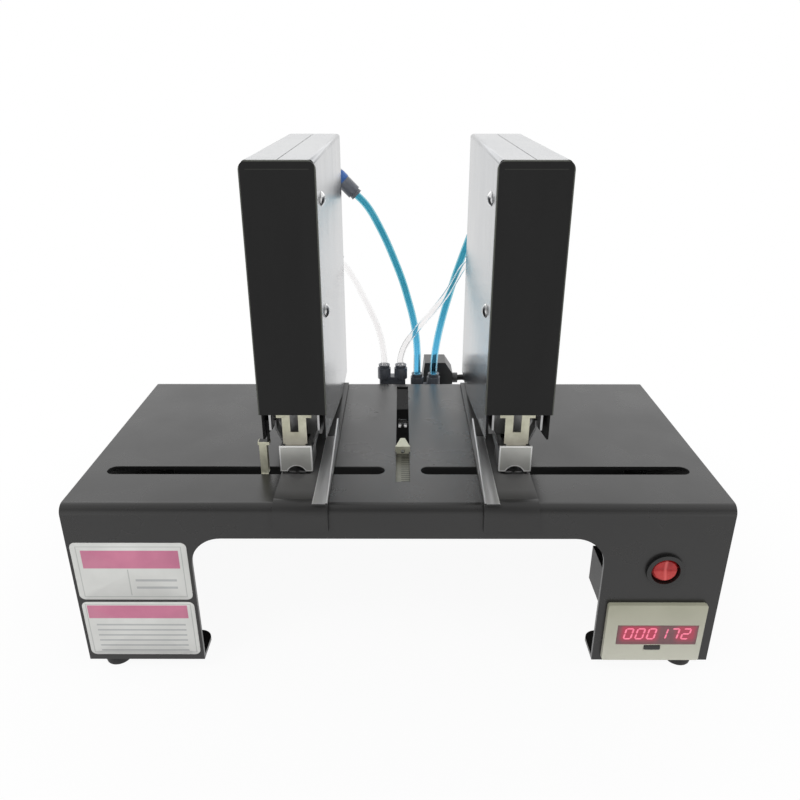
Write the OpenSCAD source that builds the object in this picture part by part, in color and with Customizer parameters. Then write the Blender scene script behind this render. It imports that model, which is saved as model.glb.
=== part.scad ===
// Pneumatic bench stapler with two heads that slide along a slotted table.
// Millimetres, +Z up, +Y towards the back. The origin lies on the floor, under the middle of the machine.
// Inside the modules z = 0 is the table top, y = 0 its front face, and a head has its inner side at +x.

/* [Table] */
// Width of the table
table_w = 400; // [380:1:440]
// Depth of the table
table_d = 196.5; // [190:0.5:220]
// Height of the front panel, from the table top to the bottom of the legs
table_h = 115; // [112:1:150]
// Thickness of the folded sheet
sheet_t = 2.5; // [1.5:0.1:3]
// Outside radius of the long bends
bend_r = 6; // [4:0.5:8]
// Width of a leg on each side of the arch
leg_w = 74.5; // [73:0.5:90]
// Height of the band above the front arch
arch_band = 22; // [18:1:30]
// Corner radius of the arches
arch_r = 19; // [8:1:20]
// Height of the rear wall above its own low arch
rear_band = 90; // [84:1:94]
// Depth of the flanges under the legs
leg_flange = 26; // [24:1:40]
// Height of the rubber feet
foot_h = 10; // [6:0.5:20]
// Diameter of a foot at its top
foot_top_d = 20; // [14:0.5:24]
// Diameter of a foot on the floor
foot_floor_d = 16; // [10:0.5:20]
// Distance of the feet from the ends of the table
foot_inset = 13; // [12:0.5:24]

/* [Slots] */
// Sideways place of the middle slot
mid_x = 3; // [-4:0.5:4]
// Width of the two long slots
slot_w = 10.5; // [9:0.5:14]
// Distance of the long slots from the front face
slot_y = 44.5; // [43:0.5:47]
// Distance between the inner ends of the long slots
slot_gap = 23; // [20:1:30]
// Distance of the long slots from the ends of the table
slot_margin = 13; // [8:1:20]
// Width of the middle slot
stop_slot_w = 9; // [7:0.5:12]
// Front end of the middle slot
stop_slot_front = 30; // [24:1:32]
// Distance of the middle slot from the back of the table
stop_slot_margin = 10; // [8:1:16]

/* [Heads] */
// Place of the left head's middle
left_x = -64; // [-80:1:-60]
// Place of the right head's middle
right_x = 73.5; // [69:0.5:90]
// Width over the two half covers
cover_w = 39; // [37:0.5:44]
// Thickness of the covers
cover_t = 1.2; // [0.8:0.1:2]
// Bend radius of the covers' top edges
cover_r = 2.5; // [2.2:0.1:4]
// Width of the seam between the half covers
seam = 0.4; // [0.2:0.1:1]
// Height of the covers' front above the table top
head_top = 191; // [184:1:220]
// Rise of the covers' top from front to back
cover_rise = 3; // [0.5:0.5:4]
// Reach of the covers behind the table
head_overhang = 17.5; // [16:0.5:26]
// Front face of the front plate
plate_y = 34.5; // [33:0.5:36]
// Width of the front plate
plate_w = 41.2; // [40:0.1:46]
// Thickness of the front plate
plate_t = 2.5; // [1.5:0.1:3]
// Corner radius of the front plate
plate_r = 5; // [2:0.5:8]
// Lower edge of the front plate
plate_bottom = 43.5; // [42:0.5:48]
// Lower edge of the covers at the front
mouth_front = 26; // [25:0.5:30]
// Lower edge of the covers at the back
mouth_rear = 2.8; // [2.6:0.1:4]
// Length of the sloping lower edge
mouth_len = 128; // [110:1:132]
// Diameter of the cover screws
screw_d = 4; // [3:0.5:5]
// Diameter of the cover screws' heads
screw_head_d = 9; // [7:0.2:10]
// Distance of the cover screws behind the front plate
screw_back = 29; // [20:1:60]
// Height of the upper cover screws
screw_high = 167; // [150:1:170]
// Height of the lower cover screws
screw_low = 100; // [80:1:120]

/* [Head insides] */
// Width over the inner frame
frame_w = 31.4; // [30:0.2:34]
// Thickness of the inner frame
frame_t = 1.5; // [1:0.1:2]
// Lower edge of the inner frame at the front
frame_bottom = 31; // [30:0.5:36]
// Gap between the top of the inner frame and the covers
frame_drop = 14; // [8:1:18]
// Depth of the cylinder block, front to back
cylinder_d = 38; // [34:1:42]
// Height of the cylinder block
cylinder_h = 82; // [76:1:90]
// Bore of the cylinder
bore_d = 25; // [20:0.5:26]
// Thickness of the cylinder's upper end
cylinder_cap = 9; // [7:0.5:14]
// Thickness of the piston
piston_h = 12; // [8:0.5:16]
// Diameter of the piston rod
rod_d = 10; // [8:0.5:12]
// Stroke of the driver
stroke = 11; // [8:0.5:11.5]
// Height of the driver's holder
holder_h = 14; // [8:0.5:20]
// Height of the arm that carries the magazine
arm_h = 20; // [14:0.5:24]
// Length of the arm's foot on the base plate
arm_foot = 22; // [16:1:26]

/* [Nose and magazine] */
// Width of the nose
nose_w = 20.4; // [20:0.1:25]
// Wall of the nose
nose_t = 1.2; // [0.8:0.1:1.6]
// Gap between the nose and the anvil
nose_gap = 1.2; // [0.8:0.1:2]
// Height of the nose
nose_h = 17.8; // [16:0.1:20]
// Length of the nose's side walls
nose_d = 22; // [16:1:24]
// Width of the arched notch in the nose
notch_w = 11.4; // [7:0.2:13]
// Height of the notch
notch_h = 3.8; // [1.6:0.2:4.6]
// Height of the magazine
magazine_h = 11.2; // [10:0.1:13]
// Thickness of the magazine's floor
magazine_floor = 1; // [0.8:0.1:2]
// Width of a staple
staple_w = 12.8; // [11:0.2:14]
// Height of a staple
staple_h = 7; // [5:0.2:8]
// Thickness of the staple wire
staple_t = 0.7; // [0.5:0.1:0.9]
// Length of the strip of staples
strip_len = 52; // [20:1:60]
// Length of the pusher
pusher_len = 14; // [8:1:20]
// Outside diameter of the pusher spring
spring_d = 4; // [3:0.2:4.4]
// Thickness of the pusher spring's wire
wire_d = 0.6; // [0.4:0.1:0.8]
// Turns of the pusher spring
spring_turns = 14; // [8:1:16]
// Thickness of the driver's blade
blade_t = 0.8; // [0.6:0.1:1]
// Width of the driver's fork
fork_w = 15; // [14:0.2:17]
// Gap between the prongs of the fork
fork_gap = 5; // [3:0.2:7]

/* [Base plates] */
// Reach of the base plate on the outer side
base_out = 9.8; // [9.6:0.1:16]
// Reach of the base plate on the inner side
base_in = 22.8; // [22:0.1:28]
// Thickness of the base plate
base_t = 2; // [1.5:0.1:2.2]
// Depth of the lip over the table's front edge
base_lip = 16; // [10:1:20]
// Width of the side rail
rail_w = 9; // [8:0.5:10]
// Thickness of the side rail
rail_t = 1; // [0.6:0.1:1.2]
// Height of the rail's lip at the back
rail_h = 14.6; // [6:0.2:18]
// Length of the side rail
rail_len = 90; // [70:1:110]
// Thickness of the anvil, which is let into the base plate
anvil_h = 1; // [0.6:0.1:1.2]
// Diameter of the clamp stud
stud_d = 8; // [6:0.5:8.5]
// Diameter of the clamp knob
knob_d = 28; // [22:1:36]
// Height of the clamp knob
knob_h = 22; // [16:1:26]

/* [Controls] */
// Diameter of the switch's bezel
switch_d = 23; // [22:0.5:26]
// Diameter of the switch's panel hole
switch_hole = 20; // [18:0.5:21]
// Distance of the switch from the table's end
switch_in = 37; // [30:1:45]
// Depth of the switch's centre below the table top
switch_drop = 44.5; // [38:0.5:48]
// Tilt of the rocker to each side
rocker_tilt = 10; // [6:1:12]
// Width of the counter's bezel
counter_w = 62; // [58:1:66]
// Height of the counter's bezel
counter_h = 43.5; // [40:0.5:46]
// Distance of the counter from the table's end
counter_in = 38; // [35:1:40]
// Height of the counter's centre above the bottom of the leg
counter_up = 24.3; // [22:0.1:27]
// Length of the counter's housing
counter_d = 72; // [50:1:110]
// Width of the counter's window
window_w = 51; // [40:0.5:54]
// Height of the counter's window
window_h = 15.2; // [12:0.2:18]
// Width of the reset button
reset_w = 10; // [6:0.5:14]
// Height of the reset button
reset_h = 3; // [2:0.2:4]
// Height of the stop above the table
stop_h = 4.4; // [3:0.2:10]
// Length of the graduated plate in front of the stop
strip_front = 37; // [30:1:38]
// Place of the microswitch behind the front face
micro_y = 112; // [110:1:130]

/* [Air] */
// Outside diameter of the blue tubes
blue_d = 6; // [4:0.5:6]
// Outside diameter of the clear tubes
clear_d = 5; // [4:0.5:6]
// Length of the valve body
valve_w = 66; // [60:1:72]
// Depth of the valve body behind the table
valve_d = 30; // [26:1:34]
// Height of the valve body
valve_h = 32; // [26:1:34]
// Top of the valve body below the table top
valve_drop = 20; // [19:0.5:24]
// Distance between the valve's two outlets
port_gap = 28; // [26:0.5:30]
// Distance between the two branches of a Y fitting
branch_gap = 14; // [12.5:0.5:15]
// Size of the solenoid coil
coil = 26; // [20:1:30]
// Height of the upper elbow
elbow_high = 168; // [160:1:170]
// Height of the lower elbow
elbow_low = 104; // [100:1:110]
// Diameter of the supply hose that the inlet takes
hose_d = 8; // [6:1:8]

/* [Hidden] */
$fn = 48;
// Gap round pins, pistons and rods that run in bores
fit = 0.05;
// Gap between faces that slide on each other
slide_gap = 0.2;
// Gap between pieces that stay clear of each other
clear_gap = 0.3;
// How far a cutting shape reaches past what it cuts
cut = 1;

// Places along y in a head, from the front plate to the back
head_front = plate_y + plate_t;
head_rear = table_d + head_overhang;
nose_back = head_front + nose_t;
blade_front = nose_back + slide_gap;
blade_back = blade_front + blade_t;
magazine_front = blade_back + clear_gap;
cylinder_rear = head_front + cylinder_d;
bore_shift = 1;
piston_y = head_front + cylinder_d / 2 - bore_shift;
holder_wall = 1.5;
holder_rear = piston_y + rod_d / 2 + holder_wall;
holder_room = 1;
arm_front = holder_rear + holder_room;
base_margin = 7;
base_rear = table_d - base_margin;
arm_margin = 8;
arm_rear = head_rear - arm_margin;
foot_rear = base_rear - 1;
magazine_margin = 6;
magazine_rear = foot_rear - arm_foot - magazine_margin;

// Places along z in a head, from the table top upwards
base_top = slide_gap + base_t;
anvil_top = base_top;
nose_bottom = anvil_top + nose_gap;
nose_top = nose_bottom + nose_h;
magazine_rise = 2.9;
magazine_bottom = nose_bottom + magazine_rise;
magazine_top = magazine_bottom + magazine_h;
groove_floor = magazine_bottom + magazine_floor;
leg_gap = 1;
staple_top = groove_floor + leg_gap + staple_h;
core_top = staple_top - staple_t - clear_gap;
blade_rise = 0.5;
blade_bottom = staple_top + blade_rise;
fork_bottom = nose_top + 1;
holder_rise = 2.5;
holder_bottom = plate_bottom + holder_rise;
holder_top = holder_bottom + holder_h;
frame_top = head_top - frame_drop;
cylinder_top = frame_top - frame_t;
cylinder_bottom = cylinder_top - cylinder_h;
bore_top = cylinder_top - cylinder_cap;
piston_room = 1;
piston_top = bore_top - piston_room;
bore_bottom = piston_top - piston_h - stroke - piston_room;
arm_top = magazine_top + arm_h;

// Half widths in a head
frame_in = frame_w / 2 - frame_t;
cover_in = cover_w / 2 - cover_t;
cover_slope = atan(cover_rise / (head_rear - head_front));
magazine_w = nose_w - 2 * nose_t;
groove_w = staple_w + 2 * clear_gap;
core_w = staple_w - 2 * staple_t - 2 * clear_gap;
channel_w = spring_d + 2 * clear_gap;

// Places on the table
arch_w = table_w - 2 * leg_w;
switch_x = table_w / 2 - switch_in;
counter_x = table_w / 2 - counter_in;
counter_drop = table_h - counter_up;
stop_room = 2.5;
stop_front = stop_slot_front + stop_room;
stop_y = stop_front + strip_front;
stud_x = (base_in - base_out) / 2;
valve_y = table_d + valve_d / 2;
valve_top = -valve_drop;
valve_mid = 8.5;
clear_port = valve_mid - port_gap / 2;
blue_port = valve_mid + port_gap / 2;
clear_top = 10;
blue_top = 2;
coil_margin = 1.5;
coil_x = valve_mid + valve_w / 2 - coil - coil_margin;
coil_y = table_d + valve_d;
high_elbow_x = 8;
low_elbow_x = 6.5;
stem_d = 9;
high_reach = 24;
low_reach = 12;

// The origin, in table coordinates
bezel_t = 3;
reset_stand = 0.5;
origin_y = (coil_y + coil - bezel_t - reset_stand) / 2;
floor_z = -table_h - foot_h;

// Routes of the tubes and of the lead, in table coordinates
left_blue_route = [
  [15.5, 211.5, 2], [15.5, 211.5, 8], [15.4, 213, 21], [14.2, 216.2, 35], [11.6, 220, 49], [7.4, 224, 64],
  [2.6, 227.7, 79], [-3.4, 231.1, 94], [-10, 234.3, 109], [-16.6, 236.8, 122], [-22.6, 238, 132.6],
  [-28, 238, 140], [-34, 238, 146]
];
right_blue_route = [
  [29.5, 211.5, 2], [29.5, 211.5, 8], [30.6, 213, 21], [33.2, 216.8, 35], [37, 221.4, 50], [41.8, 226.2, 66],
  [47, 230.6, 82], [52.4, 234, 97], [57.6, 236.6, 111], [62, 238, 123], [64.8, 238, 133], [65.5, 238, 139],
  [65.5, 238, 144]
];
left_clear_route = [
  [-12.5, 211.5, 10], [-12.5, 211.5, 16], [-14, 213, 28], [-17.7, 216, 41], [-23, 219.5, 53],
  [-29.2, 222.8, 65], [-35.6, 225.2, 77.4], [-43, 226, 89.5], [-48.5, 226, 95]
];
right_clear_route = [
  [1.5, 211.5, 10], [1.5, 211.5, 16], [5, 211, 27], [11.5, 210.5, 37], [18.6, 210.7, 46], [26, 212, 54],
  [33, 214.5, 62], [40, 218.5, 70.5], [46.4, 222.8, 80], [52.5, 226, 89.5], [58, 226, 95]
];
lead_route = [
  [52, 239.5, -13], [58, 239.5, -13], [66, 238.5, -17], [73, 233.5, -24], [77, 224.5, -32], [78, 214.5, -38],
  [78, 205.5, -40], [78, 196.5, -40]
];
lead_d = 5;

// A profile in (y, z), drawn out along x
module along_x(x0, x1) {
  translate([x0, 0, 0]) rotate([90, 0, 90]) linear_extrude(height = x1 - x0) children();
}

// A profile in (x, z), drawn out along y
module along_y(y0, y1) {
  translate([0, y1, 0]) rotate([90, 0, 0]) linear_extrude(height = y1 - y0) children();
}

// A rod along y
module rod_y(d, y0, y1) {
  translate([0, y1, 0]) rotate([90, 0, 0]) cylinder(d = d, h = y1 - y0);
}

// A rod along x
module rod_x(d, x0, x1) {
  translate([x0, 0, 0]) rotate([0, 90, 0]) cylinder(d = d, h = x1 - x0);
}

// A rectangle with round corners, about its middle
module rounded(w, h, r) {
  square([w - 2 * r, h], center = true);
  square([w, h - 2 * r], center = true);
  for (x = [-1, 1], y = [-1, 1]) translate([x * (w / 2 - r), y * (h / 2 - r)]) circle(r);
}

// A box with round upright edges, about the middle of its floor
module rounded_box(w, d, h, r) {
  linear_extrude(height = h) rounded(w, d, r);
}

// A slot with round ends along x
module stadium(x0, x1, w) {
  translate([x0 + w / 2, -w / 2]) square([x1 - x0 - w, w]);
  for (x = [x0 + w / 2, x1 - w / 2]) translate([x, 0]) circle(d = w);
}

// A round tube along a list of points, each ring square to the way the tube runs
function unit(v) = v / norm(v);
function heading(p, i) = unit(p[min(i + 1, len(p) - 1)] - p[max(i - 1, 0)]);
function ring(p, i, r, sides) =
  let (d = heading(p, i), u = unit(cross([0.2, 1, 0.1], d)), v = cross(d, u))
  [for (k = [0:sides - 1]) p[i] + r * (cos(360 * k / sides) * u + sin(360 * k / sides) * v)];
module tube(p, d, sides = 10) {
  rings = len(p);
  points = [for (i = [0:rings - 1]) each ring(p, i, d / 2, sides)];
  walls = [
    for (i = [0:rings - 2], k = [0:sides - 1])
      let (a = i * sides + k, b = i * sides + (k + 1) % sides)
      each [[a, b + sides, b], [a, a + sides, b + sides]]
  ];
  last = (rings - 1) * sides;
  start_cap = [for (k = [1:sides - 2]) [0, k, k + 1]];
  end_cap = [for (k = [1:sides - 2]) [last, last + k + 1, last + k]];
  polyhedron(points = points, faces = concat(walls, start_cap, end_cap));
}

// Table coordinates in the part's own frame
module placed() {
  translate([0, -origin_y, -floor_z]) children();
}
module on_left() {
  placed() translate([left_x, 0, 0]) children();
}
module on_right() {
  placed() translate([right_x, 0, 0]) mirror([1, 0, 0]) children();
}

// The table

module bench_outline(y0, y1, top, r) {
  translate([y0, -table_h - cut]) square([y1 - y0, table_h + cut + top - r]);
  translate([y0 + r, -table_h - cut]) square([y1 - y0 - 2 * r, table_h + cut + top]);
  for (y = [y0 + r, y1 - r]) translate([y, top - r]) circle(r);
}

module arch(band) {
  height = table_h - band + cut;
  translate([-arch_w / 2, -table_h - cut]) square([arch_w, height - arch_r]);
  translate([-arch_w / 2 + arch_r, -table_h - cut]) square([arch_w - 2 * arch_r, height]);
  for (x = [-1, 1]) translate([x * (arch_w / 2 - arch_r), -band - arch_r]) circle(arch_r);
}

module leg_flanges() {
  corner_r = 8;
  for (x = [-1, 1], back = [0, 1])
    translate([x * (arch_w + leg_w) / 2, back * table_d, -table_h]) mirror([0, back, 0])
      linear_extrude(height = sheet_t) {
        translate([-leg_w / 2, sheet_t / 2]) square([leg_w, leg_flange - sheet_t / 2 - corner_r]);
        translate([0, leg_flange / 2]) rounded(leg_w, leg_flange - sheet_t, corner_r);
      }
}

// The closed ends of the table
module table_ends() {
  for (x = [-table_w / 2, table_w / 2 - sheet_t]) along_x(x, x + sheet_t) intersection() {
    bench_outline(0, table_d, 0, bend_r);
    translate([0, -table_h]) square([table_d, table_h]);
  }
}

module table_shell() {
  color("#2b2b2c") {
    difference() {
      along_x(-table_w / 2, table_w / 2) intersection() {
        difference() {
          bench_outline(0, table_d, 0, bend_r);
          bench_outline(sheet_t, table_d - sheet_t, -sheet_t, bend_r - sheet_t);
        }
        translate([0, -table_h]) square([table_d, table_h]);
      }
      along_y(-cut, table_d / 2) arch(arch_band);
      along_y(table_d / 2, table_d + cut) arch(rear_band);
      translate([0, slot_y, -sheet_t - cut]) linear_extrude(height = sheet_t + 2 * cut) {
        stadium(-table_w / 2 + slot_margin, mid_x - slot_gap / 2, slot_w);
        stadium(mid_x + slot_gap / 2, table_w / 2 - slot_margin, slot_w);
      }
      translate([mid_x - stop_slot_w / 2, stop_slot_front, -sheet_t - cut])
        cube([stop_slot_w, table_d - stop_slot_margin - stop_slot_front, sheet_t + 2 * cut]);
      translate([switch_x, 0, -switch_drop]) rod_y(switch_hole, -cut, sheet_t + cut);
      translate([counter_x, 0, -counter_drop]) along_y(-cut, sheet_t + cut)
        square([counter_body_w + 2 * clear_gap, counter_body_h + 2 * clear_gap], center = true);
    }
    leg_flanges();
    table_ends();
  }
}

module rubber_feet() {
  foot_in = 13.5;
  color("#161616")
    for (x = [-1, 1], y = [foot_in, table_d - foot_in])
      translate([x * (table_w / 2 - foot_inset), y, floor_z])
        cylinder(d1 = foot_floor_d, d2 = foot_top_d, h = foot_h);
}

// The rocker switch

switch_rim = 2.2;
switch_wall = 1.1;
switch_body = 14;
switch_back = 2;
rocker_pivot = 3.5;
rocker_r = switch_hole / 2 - switch_wall - 2 * clear_gap;
rocker_reach = 6.2;
rocker_dip = 2;
rocker_back = 4;
trunnion_d = 2.4;
trunnion_end = switch_hole / 2 - switch_wall / 2;

module at_switch() {
  translate([switch_x, 0, -switch_drop]) children();
}

module switch_bezel() {
  barrel_d = switch_hole - 2 * switch_wall - 2 * fit;
  color("#141416") at_switch() difference() {
    union() {
      rod_y(switch_d, -switch_rim, 0);
      rod_y(switch_hole - 2 * fit, -cut, switch_body + switch_back);
    }
    rod_y(barrel_d, -switch_rim - cut, switch_body);
    translate([0, rocker_pivot, 0]) rod_x(trunnion_d + 2 * fit, -switch_hole, switch_hole);
  }
}

// The rocker has a shallow V across its front, round ends about its pivot, and rests tilted
module switch_rocker() {
  color("#c8282c") at_switch() translate([0, rocker_pivot, 0]) rotate([-rocker_tilt, 0, 0]) {
    intersection() {
      rod_y(2 * (rocker_r - slide_gap), -rocker_r, rocker_r);
      sphere(r = rocker_r);
      along_x(-rocker_r, rocker_r) polygon([
        [-rocker_reach, rocker_r], [rocker_dip - rocker_reach, 0], [-rocker_reach, -rocker_r],
        [rocker_back, -rocker_r], [rocker_back, rocker_r]
      ]);
    }
    rod_x(trunnion_d, -trunnion_end, trunnion_end);
  }
}

// The counter

bezel_side = 9;
bezel_edge = 7.75;
bezel_r = 1.5;
counter_body_w = counter_w - 2 * bezel_side;
counter_body_h = counter_h - 2 * bezel_edge;
window_shift = 2;
window_drop = 1.4;
window_t = 1.4;
window_r = 0.6;
reset_drop = 11.3;
reset_depth = 7;
reset_room = 2;
reset_r = 0.8;

module at_counter() {
  translate([counter_x, 0, -counter_drop]) children();
}

module counter_housing() {
  color("#b9bba4") at_counter() difference() {
    union() {
      along_y(-bezel_t, 0) rounded(counter_w, counter_h, bezel_r);
      along_y(-cut, counter_d) square([counter_body_w, counter_body_h], center = true);
    }
    translate([window_shift, 0, -window_drop]) along_y(-bezel_t - cut, -bezel_t + window_t)
      square([window_w, window_h], center = true);
    translate([0, 0, -reset_drop]) along_y(-bezel_t - cut, -bezel_t + reset_depth)
      square([reset_w + 2 * clear_gap, reset_h + 2 * clear_gap], center = true);
  }
}

module counter_window() {
  color("#96193c") at_counter() translate([window_shift, 0, -window_drop])
    along_y(-bezel_t, -bezel_t + window_t)
      rounded(window_w - 2 * slide_gap, window_h - 2 * slide_gap, window_r);
}

module reset_button() {
  color("#1b1b1b") at_counter() translate([0, 0, -reset_drop])
    along_y(-bezel_t - reset_stand, -bezel_t + reset_depth - reset_room) rounded(reset_w, reset_h, reset_r);
}

// The paper stop: a plate under the sheet, with a tab that stands up through the slot and folds to the back

stop_grip = 3.5;
stop_plate_t = 2;
stop_tail = 14;
stop_t = 1.5;
stop_ear = 0.5;
stop_hole_d = 2.6;
stop_fold = 13;
stop_fold_w = 3;

module depth_stop() {
  strip_w = stop_slot_w - 2 * clear_gap;
  plate_w = stop_slot_w + 2 * stop_grip;
  plate_top = -sheet_t - clear_gap;
  tab_w = stop_slot_w + 2 * stop_ear;
  hole_z = stop_h / 2 - stop_t;
  color("#c9c8ae") translate([mid_x, stop_y, 0]) {
    translate([-plate_w / 2, -strip_front, plate_top - stop_plate_t])
      cube([plate_w, strip_front + stop_tail, stop_plate_t]);
    difference() {
      along_y(0, stop_t) {
        translate([-strip_w / 2, plate_top]) square([strip_w, stop_h - plate_top]);
        translate([-tab_w / 2, slide_gap]) square([tab_w, stop_h - slide_gap]);
      }
      translate([0, 0, hole_z]) rod_y(stop_hole_d, -cut, stop_t + cut);
    }
    translate([0, 0, stop_h - stop_t]) linear_extrude(height = stop_t) polygon([
      [-tab_w / 2, 0], [tab_w / 2, 0], [stop_fold_w / 2, stop_fold], [-stop_fold_w / 2, stop_fold]
    ]);
  }
}

// The microswitch hangs under the table beside the middle slot, with its lever in the slot

micro_w = 6.4;
micro_l = 28;
micro_h = 16;
micro_hole_d = 3;
micro_hole_in = 4;
micro_hole_up = 3.5;
pivot_up = 9;
pivot_in = 4;
lever_pin = 2;
lever_hub = 5;
lever_w = 6;
lever_t = 1.4;

module at_lever() {
  translate([mid_x, micro_y + micro_l - pivot_in, -pivot_up]) children();
}

module microswitch() {
  side = stop_slot_w / 2 + clear_gap;
  color("#1d1d1f") {
    translate([mid_x + side, micro_y, -sheet_t - micro_h]) difference() {
      cube([micro_w, micro_l, micro_h]);
      for (y = [micro_hole_in, micro_l - micro_hole_in]) translate([0, y, micro_hole_up])
        rod_x(micro_hole_d, -cut, micro_w + cut);
    }
    at_lever() rod_x(lever_pin, -lever_w / 2 - clear_gap, side + cut);
  }
}

// A sheet lever with a hub on the pin and a forked tip that stands in the slot
module trigger_lever() {
  reach = 22;
  tip_z = pivot_up - 2 * clear_gap;
  hook = 5;
  hook_rise = 3;
  fork = 2.4;
  fork_len = 9;
  color("#d7d8d8") at_lever() difference() {
    union() {
      rod_x(lever_hub, -lever_w / 2, lever_w / 2);
      along_x(-lever_w / 2, lever_w / 2) polygon([
        [0, lever_t], [hook - reach, tip_z - hook_rise], [-reach, tip_z],
        [-reach - lever_t / 2, tip_z - lever_t / 2], [hook - reach, tip_z - hook_rise - lever_t],
        [0, -lever_t]
      ]);
    }
    rod_x(lever_pin + 2 * fit, -lever_w, lever_w);
    translate([-fork / 2, -reach - 2 * cut, 0]) cube([fork, fork_len + 2 * cut, pivot_up + cut]);
  }
}

// The valve behind the table

valve_bottom = valve_top - valve_h;
valve_r = 2;
valve_cap_edge = 5;
valve_cap_t = 3;
port_d = 9;
port_depth = 6;
port_stem = port_d - slide_gap;
exhaust_x = 19.6;
valve_hole_d = 4.2;
valve_hole_in = 5;
valve_hole_depth = 4;
coil_r = 3;
coil_rise = 2;
coil_nut_d = 12;
coil_nut_h = 4;

module valve_body() {
  color("#b8babd") translate([valve_mid, valve_y, valve_bottom]) {
    difference() {
      rounded_box(valve_w, valve_d, valve_h, valve_r);
      for (x = [-1, 1]) translate([x * port_gap / 2, 0, valve_h - port_depth])
        cylinder(d = port_d, h = port_depth + cut);
      for (x = [-1, 0, 1]) translate([x * exhaust_x, 0, -cut]) cylinder(d = port_d, h = port_depth + cut);
      for (x = [-1, 1]) translate([x * (valve_w / 2 - valve_hole_in), 0, valve_h / 2])
        rod_y(valve_hole_d, valve_d / 2 - valve_hole_depth, valve_d / 2 + cut);
    }
    for (x = [-1, 1]) translate([x * valve_w / 2, 0, valve_h / 2])
      rotate([0, x * 90, 0]) cylinder(d = valve_h - 2 * valve_cap_edge, h = valve_cap_t);
  }
}

module solenoid_coil() {
  color("#1c1c1e") translate([coil_x + coil / 2, coil_y + coil / 2, valve_bottom]) {
    rounded_box(coil, coil, valve_h + coil_rise, coil_r);
    translate([0, 0, -coil_nut_h]) cylinder(d = coil_nut_d, h = coil_nut_h + cut);
  }
}

// The plug on the coil has a sloping shoulder with its lead at the end
module coil_plug() {
  base = valve_top + coil_rise;
  inset = 2;
  height = 23;
  shoulder_h = 13;
  shoulder = 7;
  top_reach = 0.5;
  start = 6;
  lean = 2.5;
  gland_d = 9;
  gland_reach = 12;
  gland_up = 5;
  color("#232326") {
    translate([coil_x, coil_y, base]) along_y(inset, coil - inset) polygon([
      [start, 0], [coil + shoulder, 0], [coil + shoulder, shoulder_h], [coil + top_reach, height],
      [start + lean, height]
    ]);
    translate([coil_x + coil, coil_y + coil / 2, base + gland_up]) rod_x(gland_d, 0, gland_reach);
  }
}

module plug_lead() {
  color("#1a1a1a") tube(lead_route, lead_d);
}

// A push-in Y fitting: a hexagon on the valve, a yoke, and two upright branches with collets
y_hex_d = 14;
yoke_d = 9;
yoke_h = 8;
yoke_end = 4;
yoke_r = 2;
branch_d = 11;
branch_h = 9;
branch_sink = 2;
collet_h = 3;
collet_in_d = 8.6;
collet_out_d = 9.6;

module y_fitting(x, top) {
  branch_z = top - collet_h - branch_h;
  yoke_z = branch_z + branch_sink - yoke_h;
  translate([x, valve_y, 0]) {
    translate([0, 0, valve_top - port_depth])
      cylinder(d = port_stem, h = yoke_z + cut - valve_top + port_depth);
    translate([0, 0, valve_top]) cylinder(d = y_hex_d, h = yoke_z - valve_top, $fn = 6);
    translate([0, 0, yoke_z]) rounded_box(branch_gap + 2 * yoke_end, yoke_d, yoke_h, yoke_r);
    for (side = [-1, 1]) translate([side * branch_gap / 2, 0, 0]) {
      translate([0, 0, branch_z]) cylinder(d = branch_d, h = branch_h);
      translate([0, 0, top - collet_h]) cylinder(d1 = collet_in_d, d2 = collet_out_d, h = collet_h);
    }
  }
}

module y_fittings() {
  color("#3c3d46") {
    y_fitting(clear_port, clear_top);
    y_fitting(blue_port, blue_top);
  }
}

inlet_d = 15;
inlet_h = 22;
inlet_hex_d = 16;
inlet_hex_h = 6;
inlet_depth = 16;
silencer_h = 14;
silencer_hex_d = 13;
silencer_hex_h = 4;
silencer_top_d = 9;
silencer_tip_d = 7;

module air_inlet() {
  color("#45464e") translate([valve_mid, valve_y, valve_bottom]) difference() {
    union() {
      translate([0, 0, -cut]) cylinder(d = port_stem, h = port_depth + cut);
      translate([0, 0, -inlet_hex_h]) cylinder(d = inlet_hex_d, h = inlet_hex_h, $fn = 6);
      translate([0, 0, -inlet_h]) cylinder(d = inlet_d, h = inlet_h - inlet_hex_h + cut);
    }
    translate([0, 0, -inlet_h - cut]) cylinder(d = hose_d, h = inlet_depth + cut);
  }
}

module silencers() {
  color("#b08a4a") for (x = [-1, 1]) translate([valve_mid + x * exhaust_x, valve_y, valve_bottom]) {
    translate([0, 0, -cut]) cylinder(d = port_stem, h = port_depth + cut);
    translate([0, 0, -silencer_hex_h]) cylinder(d = silencer_hex_d, h = silencer_hex_h, $fn = 6);
    translate([0, 0, -silencer_h])
      cylinder(d1 = silencer_tip_d, d2 = silencer_top_d, h = silencer_h - silencer_hex_h + cut);
  }
}

// The base of a head

knob_top = -sheet_t - clear_gap;
knob_floor = 3;
stud_bottom = knob_top - knob_h + knob_floor + cut;

module base_outline() {
  turn = bend_r + slide_gap;
  translate([bend_r, slide_gap]) square([base_rear - bend_r, base_t]);
  translate([bend_r, -bend_r]) intersection() {
    difference() {
      circle(turn + base_t);
      circle(turn);
    }
    translate([-turn - base_t - cut, 0]) square(turn + base_t + cut);
  }
  translate([-slide_gap - base_t, -base_lip]) square([base_t, base_lip - bend_r]);
}

// The anvil's seat in the base plate, a little in front of the nose
anvil_side = 2.3;
anvil_reach = 1.5;
anvil_d = 16;
anvil_r = 2;
anvil_w = staple_w + 2 * anvil_side;

module at_anvil() {
  translate([0, head_front + anvil_d / 2 - anvil_reach, base_top - anvil_h]) children();
}

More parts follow.
